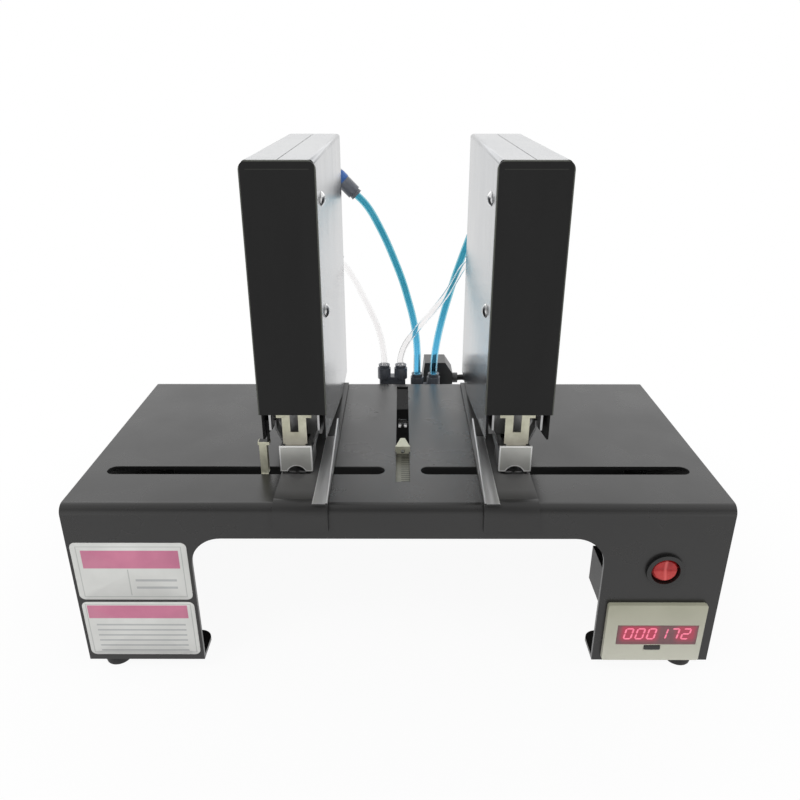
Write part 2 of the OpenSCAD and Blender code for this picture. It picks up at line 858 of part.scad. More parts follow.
module base_plate() {
  stud_top = slide_gap + (base_t - anvil_h) / 2;
  color("#303031") {
    difference() {
      along_x(-base_out, base_in) base_outline();
      at_anvil() rounded_box(anvil_w + 2 * fit, anvil_d + 2 * fit, anvil_h + cut, anvil_r + fit);
    }
    translate([stud_x, slot_y, stud_bottom]) cylinder(d = stud_d, h = stud_top - stud_bottom);
  }
}

module guide_rail() {
  front = -base_t;
  rear = front + rail_len;
  low_end = rail_t + 0.5;
  color("#c8c9ca") {
    translate([base_in - rail_w, front, base_top]) cube([rail_w, rail_len, rail_t]);
    along_x(base_in - rail_t, base_in) translate([0, base_top]) polygon([
      [front, 0], [rear, 0], [rear, rail_h], [front, low_end]
    ]);
  }
}

// The anvil has two hollows that turn the legs of a staple inwards
module anvil() {
  hollow_r = 5;
  hollow_depth = 0.6;
  hollow_l = 2;
  color("#9c9d9f") difference() {
    at_anvil() rounded_box(anvil_w, anvil_d, anvil_h, anvil_r);
    for (x = [-1, 1])
      translate([x * staple_w / 4, (blade_front + blade_back) / 2, anvil_top + hollow_r - hollow_depth])
        rod_y(2 * hollow_r, -hollow_l / 2, hollow_l / 2);
  }
}

module clamp_knob() {
  lobes = 6;
  lobe_d = 8;
  neck_h = 9;
  color("#1b1b1c") translate([stud_x, slot_y, knob_top - knob_h]) difference() {
    union() {
      cylinder(d = knob_d - 0.75 * lobe_d, h = knob_h);
      for (k = [0:lobes - 1]) rotate(k * 360 / lobes) translate([(knob_d - lobe_d) / 2, 0, 0])
        cylinder(d = lobe_d, h = knob_h - neck_h);
    }
    translate([0, 0, knob_floor]) cylinder(d = stud_d + 2 * fit, h = knob_h);
  }
}

// The guide post hangs from the inside of the left head's outer cover into the slot
module guide_post() {
  drop = 4.6;
  top = mouth_front - drop;
  sink = 1.5;
  post_w = 4.8;
  post_d = 5;
  post_out = 4.1;
  shoulder_t = 2.2;
  shoulder_out = 4.8;
  shoulder_w = 7.4;
  tongue = [1.4, 3, 16];
  color("#c8c7a8") translate([0, slot_y, 0]) {
    translate([-cover_w / 2 - post_out, -post_d / 2, -sink])
      cube([post_w, post_d, top + sink - shoulder_t / 2]);
    translate([-cover_w / 2 - shoulder_out, -post_d / 2, top - shoulder_t])
      cube([shoulder_w, post_d, shoulder_t]);
    translate([-cover_in, -tongue[1] / 2, top - shoulder_t / 2]) cube(tongue);
  }
}

// The covers

module mouth_outline() {
  slope_end = head_front + mouth_len;
  polygon([
    [head_front - cut, -cut], [head_rear + cut, -cut], [head_rear + cut, mouth_rear],
    [slope_end, mouth_rear], [head_front, mouth_front], [head_front - cut, mouth_front]
  ]);
}

module half_section(w, top, r) {
  square([w - r, top]);
  square([w, top - r]);
  translate([w - r, top - r]) circle(r);
}

// Half of a head's outline from y0 to y1, with its top rising to the back
slope_room = 12;
module sloped_block(w, top, r, y0, y1) {
  intersection() {
    translate([0, head_front, top]) rotate([cover_slope, 0, 0])
      along_y(-slope_room, head_rear - head_front + slope_room)
        translate([0, -top - slope_room]) half_section(w, top + slope_room, r);
    translate([0, y0, 0]) cube([w, y1 - y0, head_top + slope_room]);
  }
}

module half_cover() {
  difference() {
    sloped_block(cover_w / 2, head_top, cover_r, head_front, head_rear);
    sloped_block(cover_in, head_top - cover_t, cover_r - cover_t, head_front - cut, head_rear - cover_t);
    along_x(-cut, cover_w) mouth_outline();
    translate([-cut, head_front - cut, 0]) cube([cut + seam / 2, head_rear, head_top + slope_room]);
    at_screws() rod_x(screw_d + 2 * clear_gap, -cut, cover_w);
  }
}

module at_screws() {
  for (z = [screw_low, screw_high]) translate([0, head_front + screw_back, z]) children();
}

module at_elbows() {
  translate([high_elbow_x, 0, elbow_high]) children();
  translate([low_elbow_x, 0, elbow_low]) children();
}

module inner_cover() {
  color("#cfd1d3") difference() {
    half_cover();
    at_elbows() rod_y(stem_d + 2 * clear_gap, head_rear - cover_t - cut, head_rear + cut);
  }
}

module outer_cover() {
  color("#cfd1d3") mirror([1, 0, 0]) half_cover();
}

module front_plate() {
  height = head_top - plate_bottom;
  color("#262627") along_y(plate_y, head_front) {
    translate([-plate_w / 2, plate_bottom]) square([plate_w, height - plate_r]);
    translate([0, plate_bottom + height / 2]) rounded(plate_w, height, plate_r);
  }
}

// Button heads outside the covers, with shanks that reach into the frame
module cover_screws() {
  head_h = 2.6;
  ball = (head_h * head_h + screw_head_d * screw_head_d / 4) / (2 * head_h);
  color("#d6d7d8") at_screws() for (side = [0, 1]) mirror([side, 0, 0]) {
    rod_x(screw_d, frame_in, cover_w / 2);
    translate([cover_w / 2, 0, 0]) rotate([0, 90, 0]) rotate_extrude() intersection() {
      translate([0, head_h - ball]) circle(ball);
      square([screw_head_d, head_h]);
    }
  }
}

// The insides of a head

module frame_outline() {
  rise = frame_bottom - mouth_front;
  polygon([
    [blade_back, frame_bottom], [head_front + mouth_len, mouth_rear + rise], [arm_rear, mouth_rear + rise],
    [arm_rear, frame_top], [blade_back, frame_top]
  ]);
}

module frame() {
  hole_d = 36;
  hole_in = 22;
  hole_pitch = 50;
  color("#bfc1c4") difference() {
    along_x(-frame_w / 2, frame_w / 2) frame_outline();
    translate([-frame_in, 0, 0]) cube([2 * frame_in, head_rear, frame_top - frame_t]);
    at_screws() rod_x(screw_d + 2 * fit, -cover_w, cover_w);
    for (k = [0, 1]) translate([0, arm_rear - hole_in - k * hole_pitch, (frame_top + arm_top) / 2])
      rod_x(hole_d, -cover_w, cover_w);
  }
}

// The arm is a bar with pockets in its top, and stands on the base plate with a foot
module arm() {
  foot_side = 0.5;
  pockets = 3;
  pocket = [14, 22, 8];
  pocket_r = 4;
  pocket_start = 30;
  pocket_pitch = 32;
  color("#a9abae") difference() {
    union() {
      translate([-frame_in, arm_front, magazine_top]) cube([2 * frame_in, arm_rear - arm_front, arm_h]);
      translate([foot_side - base_out, foot_rear - arm_foot, base_top])
        cube([base_in - rail_w + base_out - 2 * foot_side, arm_foot, magazine_top - base_top + cut]);
    }
    for (k = [0:pockets - 1])
      translate([0, arm_front + pocket_start + k * pocket_pitch, arm_top - pocket[2]])
        rounded_box(pocket[0], pocket[1], pocket[2] + cut, pocket_r);
  }
}

elbow_seat = 6;

module air_cylinder() {
  color("#aeb2b6") difference() {
    translate([-frame_in, head_front, cylinder_bottom]) cube([2 * frame_in, cylinder_d, cylinder_h]);
    translate([0, piston_y, bore_bottom]) cylinder(d = bore_d, h = bore_top - bore_bottom);
    translate([0, piston_y, cylinder_bottom - cut]) cylinder(d = rod_d + 2 * fit, h = cylinder_h);
    at_elbows() rod_y(stem_d + 2 * fit, cylinder_rear - elbow_seat, cylinder_rear + cut);
  }
}

// The piston has a groove for its seal round the middle
module piston() {
  groove_w = 2;
  groove_depth = 1.5;
  color("#d0d2d4") translate([0, piston_y, 0]) {
    translate([0, 0, holder_top]) cylinder(d = rod_d, h = piston_top - holder_top);
    difference() {
      translate([0, 0, piston_top - piston_h]) cylinder(d = bore_d - 2 * fit, h = piston_h);
      translate([0, 0, piston_top - piston_h / 2 - groove_w / 2]) rotate_extrude()
        translate([bore_d / 2 - groove_depth, 0]) square(groove_w);
    }
  }
}

// The driver: a thin blade with a fork above the nose, hanging from a block on the piston rod
module driver() {
  blade_w = staple_w - 2 * slide_gap;
  ear = 3.35;
  ear_w = fork_w + 2 * ear;
  ear_drop = 3.6;
  slot_rise = 8;
  slot_bottom = fork_bottom + slot_rise;
  holder_side = 2;
  holder_r = 2;
  color("#c9c8ae") {
    along_y(blade_front, blade_back) difference() {
      union() {
        translate([-blade_w / 2, blade_bottom]) square([blade_w, fork_bottom - blade_bottom + cut]);
        translate([-fork_w / 2, fork_bottom]) square([fork_w, holder_bottom - fork_bottom]);
        translate([-ear_w / 2, plate_bottom - ear_drop])
          square([ear_w, holder_bottom - plate_bottom + ear_drop]);
      }
      translate([-fork_gap / 2, slot_bottom]) square([fork_gap, plate_bottom - slot_bottom]);
    }
    translate([0, (blade_front + holder_rear) / 2, holder_bottom])
      rounded_box(fork_w + 2 * holder_side, holder_rear - blade_front, holder_h, holder_r);
  }
}

// The nose wraps the front of the magazine, and two wings hang it from the frame
module nose() {
  side = nose_w / 2;
  notch_r = (notch_w * notch_w / 4 + notch_h * notch_h) / (2 * notch_h);
  wing_back = 13;
  wing_y = head_front + wing_back;
  wing_rise = 2;
  wing_z = frame_bottom + wing_rise;
  wing_h = 6;
  wing_root = 2;
  color("#dcddde") {
    difference() {
      union() {
        along_y(head_front, nose_back) translate([-side, nose_bottom]) square([nose_w, nose_h]);
        for (x = [-side, side - nose_t])
          translate([x, head_front, nose_bottom]) cube([nose_t, nose_d, magazine_top - nose_bottom]);
      }
      translate([0, 0, nose_bottom + notch_h - notch_r])
        rod_y(2 * notch_r, head_front - cut, nose_back + cut);
    }
    for (m = [0, 1]) mirror([m, 0, 0]) along_y(wing_y, head_front + nose_d) polygon([
      [side - nose_t, magazine_top - wing_root], [side, magazine_top - wing_root], [side, magazine_top],
      [frame_in, wing_z - wing_h], [frame_in, wing_z], [frame_in - nose_t, wing_z],
      [frame_in - nose_t, wing_z - wing_h + nose_t / 2], [side - nose_t, magazine_top + nose_t / 2]
    ]);
  }
}

module magazine_section() {
  difference() {
    translate([-magazine_w / 2, magazine_bottom]) square([magazine_w, magazine_h]);
    translate([-groove_w / 2, groove_floor]) square([groove_w, magazine_h]);
  }
  difference() {
    translate([-core_w / 2, magazine_bottom]) square([core_w, core_top - magazine_bottom]);
    translate([-channel_w / 2, core_top - channel_w]) square([channel_w, channel_w + cut]);
  }
}

magazine_end_t = 4;
magazine_end = magazine_rear - magazine_end_t / 2;

module magazine() {
  color("#b4b6b9") {
    along_y(magazine_front, magazine_rear) magazine_section();
    translate([-magazine_w / 2, magazine_end, magazine_bottom])
      cube([magazine_w, magazine_end_t, magazine_h]);
  }
}

// A U over the magazine's core, as a strip of staples and as the pusher's saddle
module saddle_section(w, wall, top, bottom) {
  difference() {
    translate([-w / 2, bottom]) square([w, top - bottom]);
    translate([-w / 2 + wall, bottom - cut]) square([w - 2 * wall, top - wall - bottom + cut]);
  }
}

pusher_front = magazine_front + strip_len;
pusher_rear = pusher_front + pusher_len;
pusher_lug = 4;

module staples() {
  color("#c4c6c9") along_y(magazine_front, pusher_front)
    saddle_section(staple_w, staple_t, staple_top, staple_top - staple_h);
}

module pusher() {
  lug_bottom = core_top - channel_w + clear_gap;
  color("#8f9295") {
    along_y(pusher_front, pusher_rear) saddle_section(staple_w, staple_t, staple_top, staple_top - staple_h);
    translate([-spring_d / 2, pusher_rear - pusher_lug, lug_bottom])
      cube([spring_d, pusher_lug, staple_top - lug_bottom]);
  }
}

// The spring is one helix with straight ends, between the pusher's lug and the magazine's end
spring_steps = 8;
spring_r = (spring_d - wire_d) / 2;
spring_start = pusher_rear + 2 * wire_d;
spring_end = magazine_end - 2 * wire_d;
function spring_point(k) =
  let (share = k / (spring_turns * spring_steps), a = 360 * k / spring_steps)
  [spring_r * cos(a), spring_start + share * (spring_end - spring_start), spring_r * sin(a)];
spring_path = concat(
  [[spring_r, pusher_rear, 0], [spring_r, pusher_rear + wire_d, 0]],
  [for (k = [0:spring_turns * spring_steps]) spring_point(k)],
  [[spring_r, magazine_end - wire_d, 0], [spring_r, magazine_end, 0]]
);
function least_gap(p, d, apart) =
  min([for (i = [0:len(p) - 1 - apart], j = [i + apart:len(p) - 1]) norm(p[i] - p[j])]) - d;
echo(spring_least_gap = least_gap(spring_path, wire_d, spring_steps / 2));

module pusher_spring() {
  color("#9b9da0") translate([0, 0, core_top - channel_w / 2]) tube(spring_path, wire_d, 6);
}

// A swivel elbow on a long stem from the cylinder's port, with its outlet turned inwards from straight down
elbow_hex_d = 14;
elbow_hex_h = 4;
knuckle_d = 13;
outlet_d = 11.6;
outlet_collet_d = 9;
outlet_mouth_d = 10;
high_side = 22;
low_side = 9;
high_drop = 24;

module elbow(x, z, reach, turn, outlet) {
  knuckle = head_rear + reach;
  translate([x, 0, z]) {
    rod_y(stem_d, cylinder_rear - elbow_seat, knuckle);
    translate([0, head_rear + elbow_hex_h, 0]) rotate([90, 0, 0])
      cylinder(d = elbow_hex_d, h = elbow_hex_h, $fn = 6);
    translate([0, knuckle, 0]) {
      sphere(d = knuckle_d);
      rotate([0, 180 - turn, 0]) {
        cylinder(d = outlet_d, h = outlet - collet_h);
        translate([0, 0, outlet - collet_h])
          cylinder(d1 = outlet_collet_d, d2 = outlet_mouth_d, h = collet_h);
      }
    }
  }
}

module left_air_elbows() {
  color("#3c3d46") {
    elbow(high_elbow_x, elbow_high, high_reach, 45, high_side * sqrt(2));
    elbow(low_elbow_x, elbow_low, low_reach, 45, low_side * sqrt(2));
  }
}

module right_air_elbows() {
  color("#3c3d46") {
    elbow(high_elbow_x, elbow_high, high_reach, 0, high_drop);
    elbow(low_elbow_x, elbow_low, low_reach, 45, low_side * sqrt(2));
  }
}

module blue_tube(route) {
  color("#2f95bd") tube(route, blue_d);
}

module clear_tube(route) {
  color("#e8eef0") tube(route, clear_d);
}

placed() table_shell();
placed() rubber_feet();
placed() switch_bezel();
placed() switch_rocker();
placed() counter_housing();
placed() counter_window();
placed() reset_button();
placed() depth_stop();
placed() microswitch();
placed() trigger_lever();
placed() valve_body();
placed() solenoid_coil();
placed() coil_plug();
placed() plug_lead();
placed() y_fittings();
placed() air_inlet();
placed() silencers();
on_left() guide_post();  // left_guide_post
on_left() base_plate();  // left_base_plate
on_left() guide_rail();  // left_guide_rail
on_left() anvil();  // left_anvil
on_left() outer_cover();  // left_outer_cover
on_left() inner_cover();  // left_inner_cover
on_left() front_plate();  // left_front_plate
on_left() frame();  // left_frame
on_left() arm();  // left_arm
on_left() air_cylinder();  // left_cylinder
on_left() piston();  // left_piston
on_left() driver();  // left_driver
on_left() nose();  // left_nose
on_left() magazine();  // left_magazine
on_left() pusher();  // left_pusher
on_left() pusher_spring();  // left_pusher_spring
on_left() staples();  // left_staples
on_left() cover_screws();  // left_cover_screws
on_left() clamp_knob();  // left_clamp_knob
on_left() left_air_elbows();
placed() blue_tube(left_blue_route);  // left_blue_tube
placed() clear_tube(left_clear_route);  // left_clear_tube
on_right() base_plate();  // right_base_plate
on_right() guide_rail();  // right_guide_rail
on_right() anvil();  // right_anvil
on_right() outer_cover();  // right_outer_cover
on_right() inner_cover();  // right_inner_cover
on_right() front_plate();  // right_front_plate
on_right() frame();  // right_frame
on_right() arm();  // right_arm
on_right() air_cylinder();  // right_cylinder
on_right() piston();  // right_piston
on_right() driver();  // right_driver
on_right() nose();  // right_nose
on_right() magazine();  // right_magazine
on_right() pusher();  // right_pusher
on_right() pusher_spring();  // right_pusher_spring
on_right() staples();  // right_staples
on_right() cover_screws();  // right_cover_screws
on_right() clamp_knob();  // right_clamp_knob
on_right() right_air_elbows();
placed() blue_tube(right_blue_route);  // right_blue_tube
placed() clear_tube(right_clear_route);  // right_clear_tube
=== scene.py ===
"""Looks of a twin-head pneumatic bench stapler, laid over its solid frame.

Metres, +Z up, +Y towards the back of the machine. Sizes in millimetres are measured as on the machine:
x from the middle of the table, y from its front face, z from its top.
"""
import math

import bmesh
import bpy
import numpy as np
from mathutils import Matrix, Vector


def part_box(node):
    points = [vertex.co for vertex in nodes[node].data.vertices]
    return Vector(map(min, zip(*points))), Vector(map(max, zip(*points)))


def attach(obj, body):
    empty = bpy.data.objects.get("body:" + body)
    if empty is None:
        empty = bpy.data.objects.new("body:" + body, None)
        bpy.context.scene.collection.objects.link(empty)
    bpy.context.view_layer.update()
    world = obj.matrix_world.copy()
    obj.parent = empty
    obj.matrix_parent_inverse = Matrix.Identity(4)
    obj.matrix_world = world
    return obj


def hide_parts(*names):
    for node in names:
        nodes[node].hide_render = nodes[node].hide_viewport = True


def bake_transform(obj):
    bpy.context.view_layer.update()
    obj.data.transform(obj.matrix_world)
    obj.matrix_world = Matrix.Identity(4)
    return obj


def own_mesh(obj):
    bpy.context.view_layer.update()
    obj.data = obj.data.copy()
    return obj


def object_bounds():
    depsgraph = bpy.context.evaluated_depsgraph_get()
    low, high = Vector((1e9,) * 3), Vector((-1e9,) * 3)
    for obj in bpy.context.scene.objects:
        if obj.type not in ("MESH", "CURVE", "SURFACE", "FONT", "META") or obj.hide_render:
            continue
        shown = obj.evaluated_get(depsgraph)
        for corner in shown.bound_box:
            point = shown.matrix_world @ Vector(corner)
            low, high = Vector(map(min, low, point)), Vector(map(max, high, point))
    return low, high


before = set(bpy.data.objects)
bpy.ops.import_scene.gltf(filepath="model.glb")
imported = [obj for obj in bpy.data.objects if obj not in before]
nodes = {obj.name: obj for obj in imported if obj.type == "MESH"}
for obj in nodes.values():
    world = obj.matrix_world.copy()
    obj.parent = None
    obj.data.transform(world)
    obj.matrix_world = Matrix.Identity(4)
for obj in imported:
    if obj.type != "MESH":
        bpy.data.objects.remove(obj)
solid_low, solid_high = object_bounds()

MM = 0.001
SIDES = ("left", "right")
table_low, table_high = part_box("table_shell")
TABLE_CORNER = np.array([0.0, table_low.y, table_high.z])


def on_table(points):
    """Millimetres from the table's front top edge, as metres in the machine's frame."""
    return np.asarray(points, float) * MM + TABLE_CORNER


def table_box(node):
    """The lowest and highest corner of a solid, in millimetres from the table's front top edge."""
    return np.round((np.array(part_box(node)) - TABLE_CORNER) / MM, 3)


HEAD_X = {side: float(table_box(side + "_front_plate")[:, 0].mean()) for side in SIDES}
STOP_SLOT_X = float(table_box("depth_stop")[:, 0].mean())
COVER_HALF = HEAD_X["left"] - float(table_box("left_outer_cover")[0, 0])


# The camera

CAMERA_PLACE = (0.0020, -0.4888, 0.3514)
CAMERA_PITCH = 23.42
CAMERA_YAW = 0.11
CAMERA_LENS = 32.55
CAMERA_SENSOR = 36.0


def make_camera():
    """A level camera in front of the machine, looking down by the pitch."""
    camera = bpy.data.cameras.new("bench_camera")
    camera.sensor_width = CAMERA_SENSOR
    camera.lens = CAMERA_LENS
    stand = bpy.data.objects.new("bench_camera", camera)
    stand.location = CAMERA_PLACE
    stand.rotation_euler = (math.radians(90 - CAMERA_PITCH), 0, math.radians(CAMERA_YAW))
    bpy.context.scene.collection.objects.link(stand)
    bpy.context.scene.camera = stand


# Surfaces


def grid_faces(rows, columns, join_rows=False, join_columns=False):
    """Quads of a grid of points; a joined side runs on from its last line to its first."""
    index = np.arange(rows * columns).reshape(rows, columns)
    if join_rows:
        index = np.vstack([index, index[:1]])
    if join_columns:
        index = np.hstack([index, index[:, :1]])
    corners = [index[:-1, :-1], index[:-1, 1:], index[1:, 1:], index[1:, :-1]]
    return np.stack(corners, axis=-1).reshape(-1, 4)


def joined(surfaces):
    """Several (points, faces) surfaces as one, each with its faces counted on from the last."""
    points = []
    faces = []
    count = 0
    for corners, part in surfaces:
        faces += [[int(corner) + count for corner in face] for face in part]
        points.append(corners)
        count += len(corners)
    return np.vstack(points), faces


SAME_PLACE = 1e-7
NO_LENGTH = 1e-8


def make_piece(name, points, faces, finish, smooth=True):
    """A mesh object at the origin, with doubles merged and its faces turned outwards."""
    mesh = bpy.data.meshes.new(name)
    mesh.from_pydata(np.asarray(points).tolist(), [], [list(map(int, face)) for face in faces])
    shape = bmesh.new()
    shape.from_mesh(mesh)
    bmesh.ops.remove_doubles(shape, verts=shape.verts, dist=SAME_PLACE)
    bmesh.ops.dissolve_degenerate(shape, edges=shape.edges, dist=NO_LENGTH)
    bmesh.ops.recalc_face_normals(shape, faces=shape.faces)
    shape.to_mesh(mesh)
    shape.free()
    mesh.polygons.foreach_set("use_smooth", np.full(len(mesh.polygons), smooth))
    mesh.materials.append(finish)
    piece = bpy.data.objects.new(name, mesh)
    bpy.context.scene.collection.objects.link(piece)
    return piece


def unit(vectors):
    """Each vector divided by its length."""
    return vectors / np.linalg.norm(vectors, axis=-1, keepdims=True)


def smooth_route(corners, steps=8):
    """A Catmull-Rom curve: between corners b and c, with neighbours a and d, a point at t is
    half of 2b + (c - a)t + (2a - 5b + 4c - d)t^2 + (3b - a - 3c + d)t^3."""
    corners = np.asarray(corners, float)
    run = np.vstack([2 * corners[0] - corners[1], corners, 2 * corners[-1] - corners[-2]])
    a, b, c, d = (run[k:len(run) - 3 + k, None] for k in range(4))
    t = np.linspace(0, 1, steps, endpoint=False)[None, :, None]
    spans = 2 * b + (c - a) * t + (2 * a - 5 * b + 4 * c - d) * t**2 + (3 * b - a - 3 * c + d) * t**3
    return np.vstack([spans.reshape(-1, 3) / 2, corners[-1:]])


NO_CORD_HEADING = (0.2, 1.0, 0.1)
NO_TURNED_AXIS = (0.31, 0.17, 0.93)


def rings(line, radius, columns):
    """Circles of a radius square to a line: p + r (u cos a + v sin a), u and v square to its heading."""
    heading = unit(np.gradient(line, axis=0))
    u = unit(np.cross(NO_CORD_HEADING, heading))
    v = np.cross(heading, u)
    angle = np.linspace(0, 2 * np.pi, columns, endpoint=False)[None, :, None]
    return line[:, None] + radius * (np.cos(angle) * u[:, None] + np.sin(angle) * v[:, None])


def hose_wall(line, outer, inner, columns=24):
    """A hose: circles along the line at the outer radius, and back along it at the inner one."""
    wall = np.concatenate([rings(line, outer, columns), rings(line, inner, columns)[::-1]])
    return wall.reshape(-1, 3), grid_faces(len(wall), columns, join_rows=True, join_columns=True)


def solid_cord(line, radius, columns=16):
    """A full round cord: circles along the line, drawn in to a point at both ends."""
    tips = [np.repeat(line[end:end + 1, None], columns, axis=1) for end in (0, len(line) - 1)]
    wall = np.concatenate([tips[0], rings(line, radius, columns), tips[1]])
    return wall.reshape(-1, 3), grid_faces(len(wall), columns, join_columns=True)


def turned(profile, centre, axis, columns=48, corners=None):
    """A turned shape: each (along, radius) pair of the profile swept round the axis through the centre.
    corners gives, for the rows that it names, a radius that follows a hexagon instead of a circle."""
    axis = unit(np.asarray(axis, float))
    u = unit(np.cross(axis, NO_TURNED_AXIS))
    v = np.cross(axis, u)
    profile = np.asarray(profile, float)
    angle = np.linspace(0, 2 * np.pi, columns, endpoint=False)
    radius = np.repeat(profile[:, 1:2], columns, axis=1)
    if corners is not None:
        sixth = (angle + np.pi / 6) % (np.pi / 3) - np.pi / 6
        radius[corners] = radius[corners] / np.cos(sixth)
    round_part = np.cos(angle)[None, :, None] * u + np.sin(angle)[None, :, None] * v
    points = np.asarray(centre, float) + profile[:, :1, None] * axis + radius[..., None] * round_part
    return points.reshape(-1, 3), grid_faces(len(profile), columns, join_columns=True)


# Finishes


class Wiring:
    """A node tree in the making."""

    def __init__(self, tree):
        self.tree = tree

    def join(self, source, socket):
        """Links an output to an input, or sets the input to a value; None leaves it as it is."""
        if isinstance(source, bpy.types.NodeSocket):
            self.tree.links.new(source, socket)
        elif source is not None:
            socket.default_value = source

    def node(self, kind, links=(), **settings):
        """A node with its settings, its first inputs joined to outputs or values in order."""
        node = self.tree.nodes.new("ShaderNode" + kind)
        for name, value in settings.items():
            setattr(node, name, value)
        for socket, source in zip(node.inputs, links):
            self.join(source, socket)
        return node

    def math(self, operation, *values):
        """The result of a Math node."""
        return self.node("Math", values, operation=operation).outputs[0]

    def axes(self, source):
        """The three numbers of a coordinate."""
        return self.node("SeparateXYZ", [source]).outputs

    def spread(self, source, low, high, start=0.3, end=0.7):
        """A number from start to end carried over to low to high."""
        return self.node("MapRange", [source, start, end, low, high]).outputs["Result"]

    def size(self, value):
        """A number without its sign."""
        return self.math("ABSOLUTE", value)

    def above(self, value, limit):
        """1 where a number is over a limit, and 0 elsewhere."""
        return self.math("GREATER_THAN", value, limit)

    def below(self, value, limit):
        """1 where a number is under a limit, and 0 elsewhere."""
        return self.math("LESS_THAN", value, limit)

    def within(self, value, low, high):
        """1 where a number lies between two others, and 0 elsewhere."""
        return self.both(self.above(value, low), self.below(value, high))

    def fold(self, operation, masks):
        """Masks taken together in turn by one operation."""
        result = masks[0]
        for mask in masks[1:]:
            result = self.math(operation, result, mask)
        return result

    def both(self, *masks):
        """The product of masks."""
        return self.fold("MULTIPLY", masks)

    def either(self, *masks):
        """The largest of masks."""
        return self.fold("MAXIMUM", masks)

    def background_rays(self):
        """1 for rays that show the background itself: the camera's, and those mirrored or sent through."""
        path = self.node("LightPath").outputs
        return self.either(path["Is Camera Ray"], path["Is Glossy Ray"], path["Is Transmission Ray"])

    def laid_over(self, share, under, top, output):
        """Lays one shader over another by a share, as what the tree puts out."""
        mix = self.node("MixShader", [share, under.outputs[0], top.outputs[0]])
        self.join(mix.outputs[0], self.tree.nodes[output].inputs["Surface"])


class Finish(Wiring):
    """A material in the making: its node tree, its shader and the piece's own coordinates in metres."""

    def __init__(self, name, **values):
        self.material = bpy.data.materials.new(name)
        self.material.use_nodes = True
        super().__init__(self.material.node_tree)
        self.shader = self.tree.nodes["Principled BSDF"]
        coordinates = self.node("TexCoord")
        self.place = coordinates.outputs["Object"]
        self.map = coordinates.outputs["UV"]
        self.normal = None
        for socket, value in values.items():
            self.feed(socket, value)

    def feed(self, socket, source):
        """Feeds an input of the shader, named with underscores."""
        self.join(source, self.shader.inputs[socket.replace("_", " ")])

    def on_machine(self):
        """Millimetres: x from the middle of the nearer head, y from the table's front, z from its top."""
        mapping = self.node("Mapping", [self.place])
        mapping.inputs["Location"].default_value = tuple(-TABLE_CORNER / MM)
        mapping.inputs["Scale"].default_value = (1 / MM, 1 / MM, 1 / MM)
        x, y, z = self.axes(mapping.outputs[0])
        middle = self.spread(self.above(x, 0.0), HEAD_X["left"], HEAD_X["right"], 0, 1)
        return self.math("SUBTRACT", x, middle), y, z

    def noise(self, scale, detail=4.0, stretch=(1, 1, 1)):
        """Noise with that many waves a metre, drawn out along the axes with a small stretch."""
        mapping = self.node("Mapping", [self.place])
        mapping.inputs["Scale"].default_value = stretch
        noise = self.node("TexNoise", [mapping.outputs[0]])
        noise.inputs["Scale"].default_value = scale
        noise.inputs["Detail"].default_value = detail
        return noise.outputs["Fac"]

    def across_slot(self):
        """Millimetres across the machine from the middle of the stop's slot."""
        return self.math("SUBTRACT", self.math("DIVIDE", self.axes(self.place)[0], MM), STOP_SLOT_X)

    def length(self, a, b):
        """The length of two numbers square to each other."""
        return self.math("SQRT", self.math("ADD", self.both(a, a), self.both(b, b)))

    def tones(self, source, stops):
        """Colours along a number, as (place, colour) stops."""
        ramp = self.node("ValToRGB", [source])
        elements = ramp.color_ramp.elements
        while len(elements) < len(stops):
            elements.new(0.5)
        for element, (place, colour) in zip(elements, stops):
            element.position = place
            element.color = (*colour, 1)
        return ramp.outputs["Color"]

    def shades(self, source, low, high):
        """Two colours that run into each other along a noise."""
        return self.tones(source, [(0.3, low), (0.7, high)])

    def over(self, share, under, top):
        """A colour laid over another, by a share."""
        mix = self.node("Mix", [share], data_type="RGBA")
        for socket, source in (("A_Color", under), ("B_Color", top)):
            colour = source if isinstance(source, bpy.types.NodeSocket) else (*source, 1)
            self.join(colour, next(end for end in mix.inputs if end.identifier == socket))
        return next(end for end in mix.outputs if end.identifier == "Result_Color")

    def in_box(self, u, v, left, right, low, high):
        """1 where u lies between left and right and v between low and high."""
        return self.both(self.within(u, left, right), self.within(v, low, high))

    def colour(self, source):
        """Feeds the base colour."""
        self.feed("Base_Color", source)

    def gloss(self, source, low, high):
        """Roughness from low to high along a number."""
        self.rough(self.spread(source, low, high))

    def rough(self, source):
        """Feeds the roughness."""
        self.feed("Roughness", source)

    def relief(self, height, depth, strength=1.0):
        """Bump of a depth in metres, on top of the bumps before it."""
        bump = self.node("Bump")
        for socket, source in (
            ("Strength", strength), ("Distance", depth), ("Height", height), ("Normal", self.normal),
        ):
            self.join(source, bump.inputs[socket])
        self.normal = bump.outputs["Normal"]
        self.feed("Normal", self.normal)


def grey(level, warmth=0.0):
    """A grey, with a little more red and less blue for warmth."""
    return (level * (1 + warmth), level, level * (1 - warmth))


INSIDE_FRONT = 30.0
INSIDE_BACK = 195.6
INSIDE_TOP = -0.5
INSIDE_END = 197.4
REAR_WALL = 193.5
REAR_WALL_LIT = -24.0
REFLECTION_MIDDLE = 4.5
REFLECTION_HALF = (40.0, 50.0)
REFLECTION_DEEP = (-10.0, 150.0)


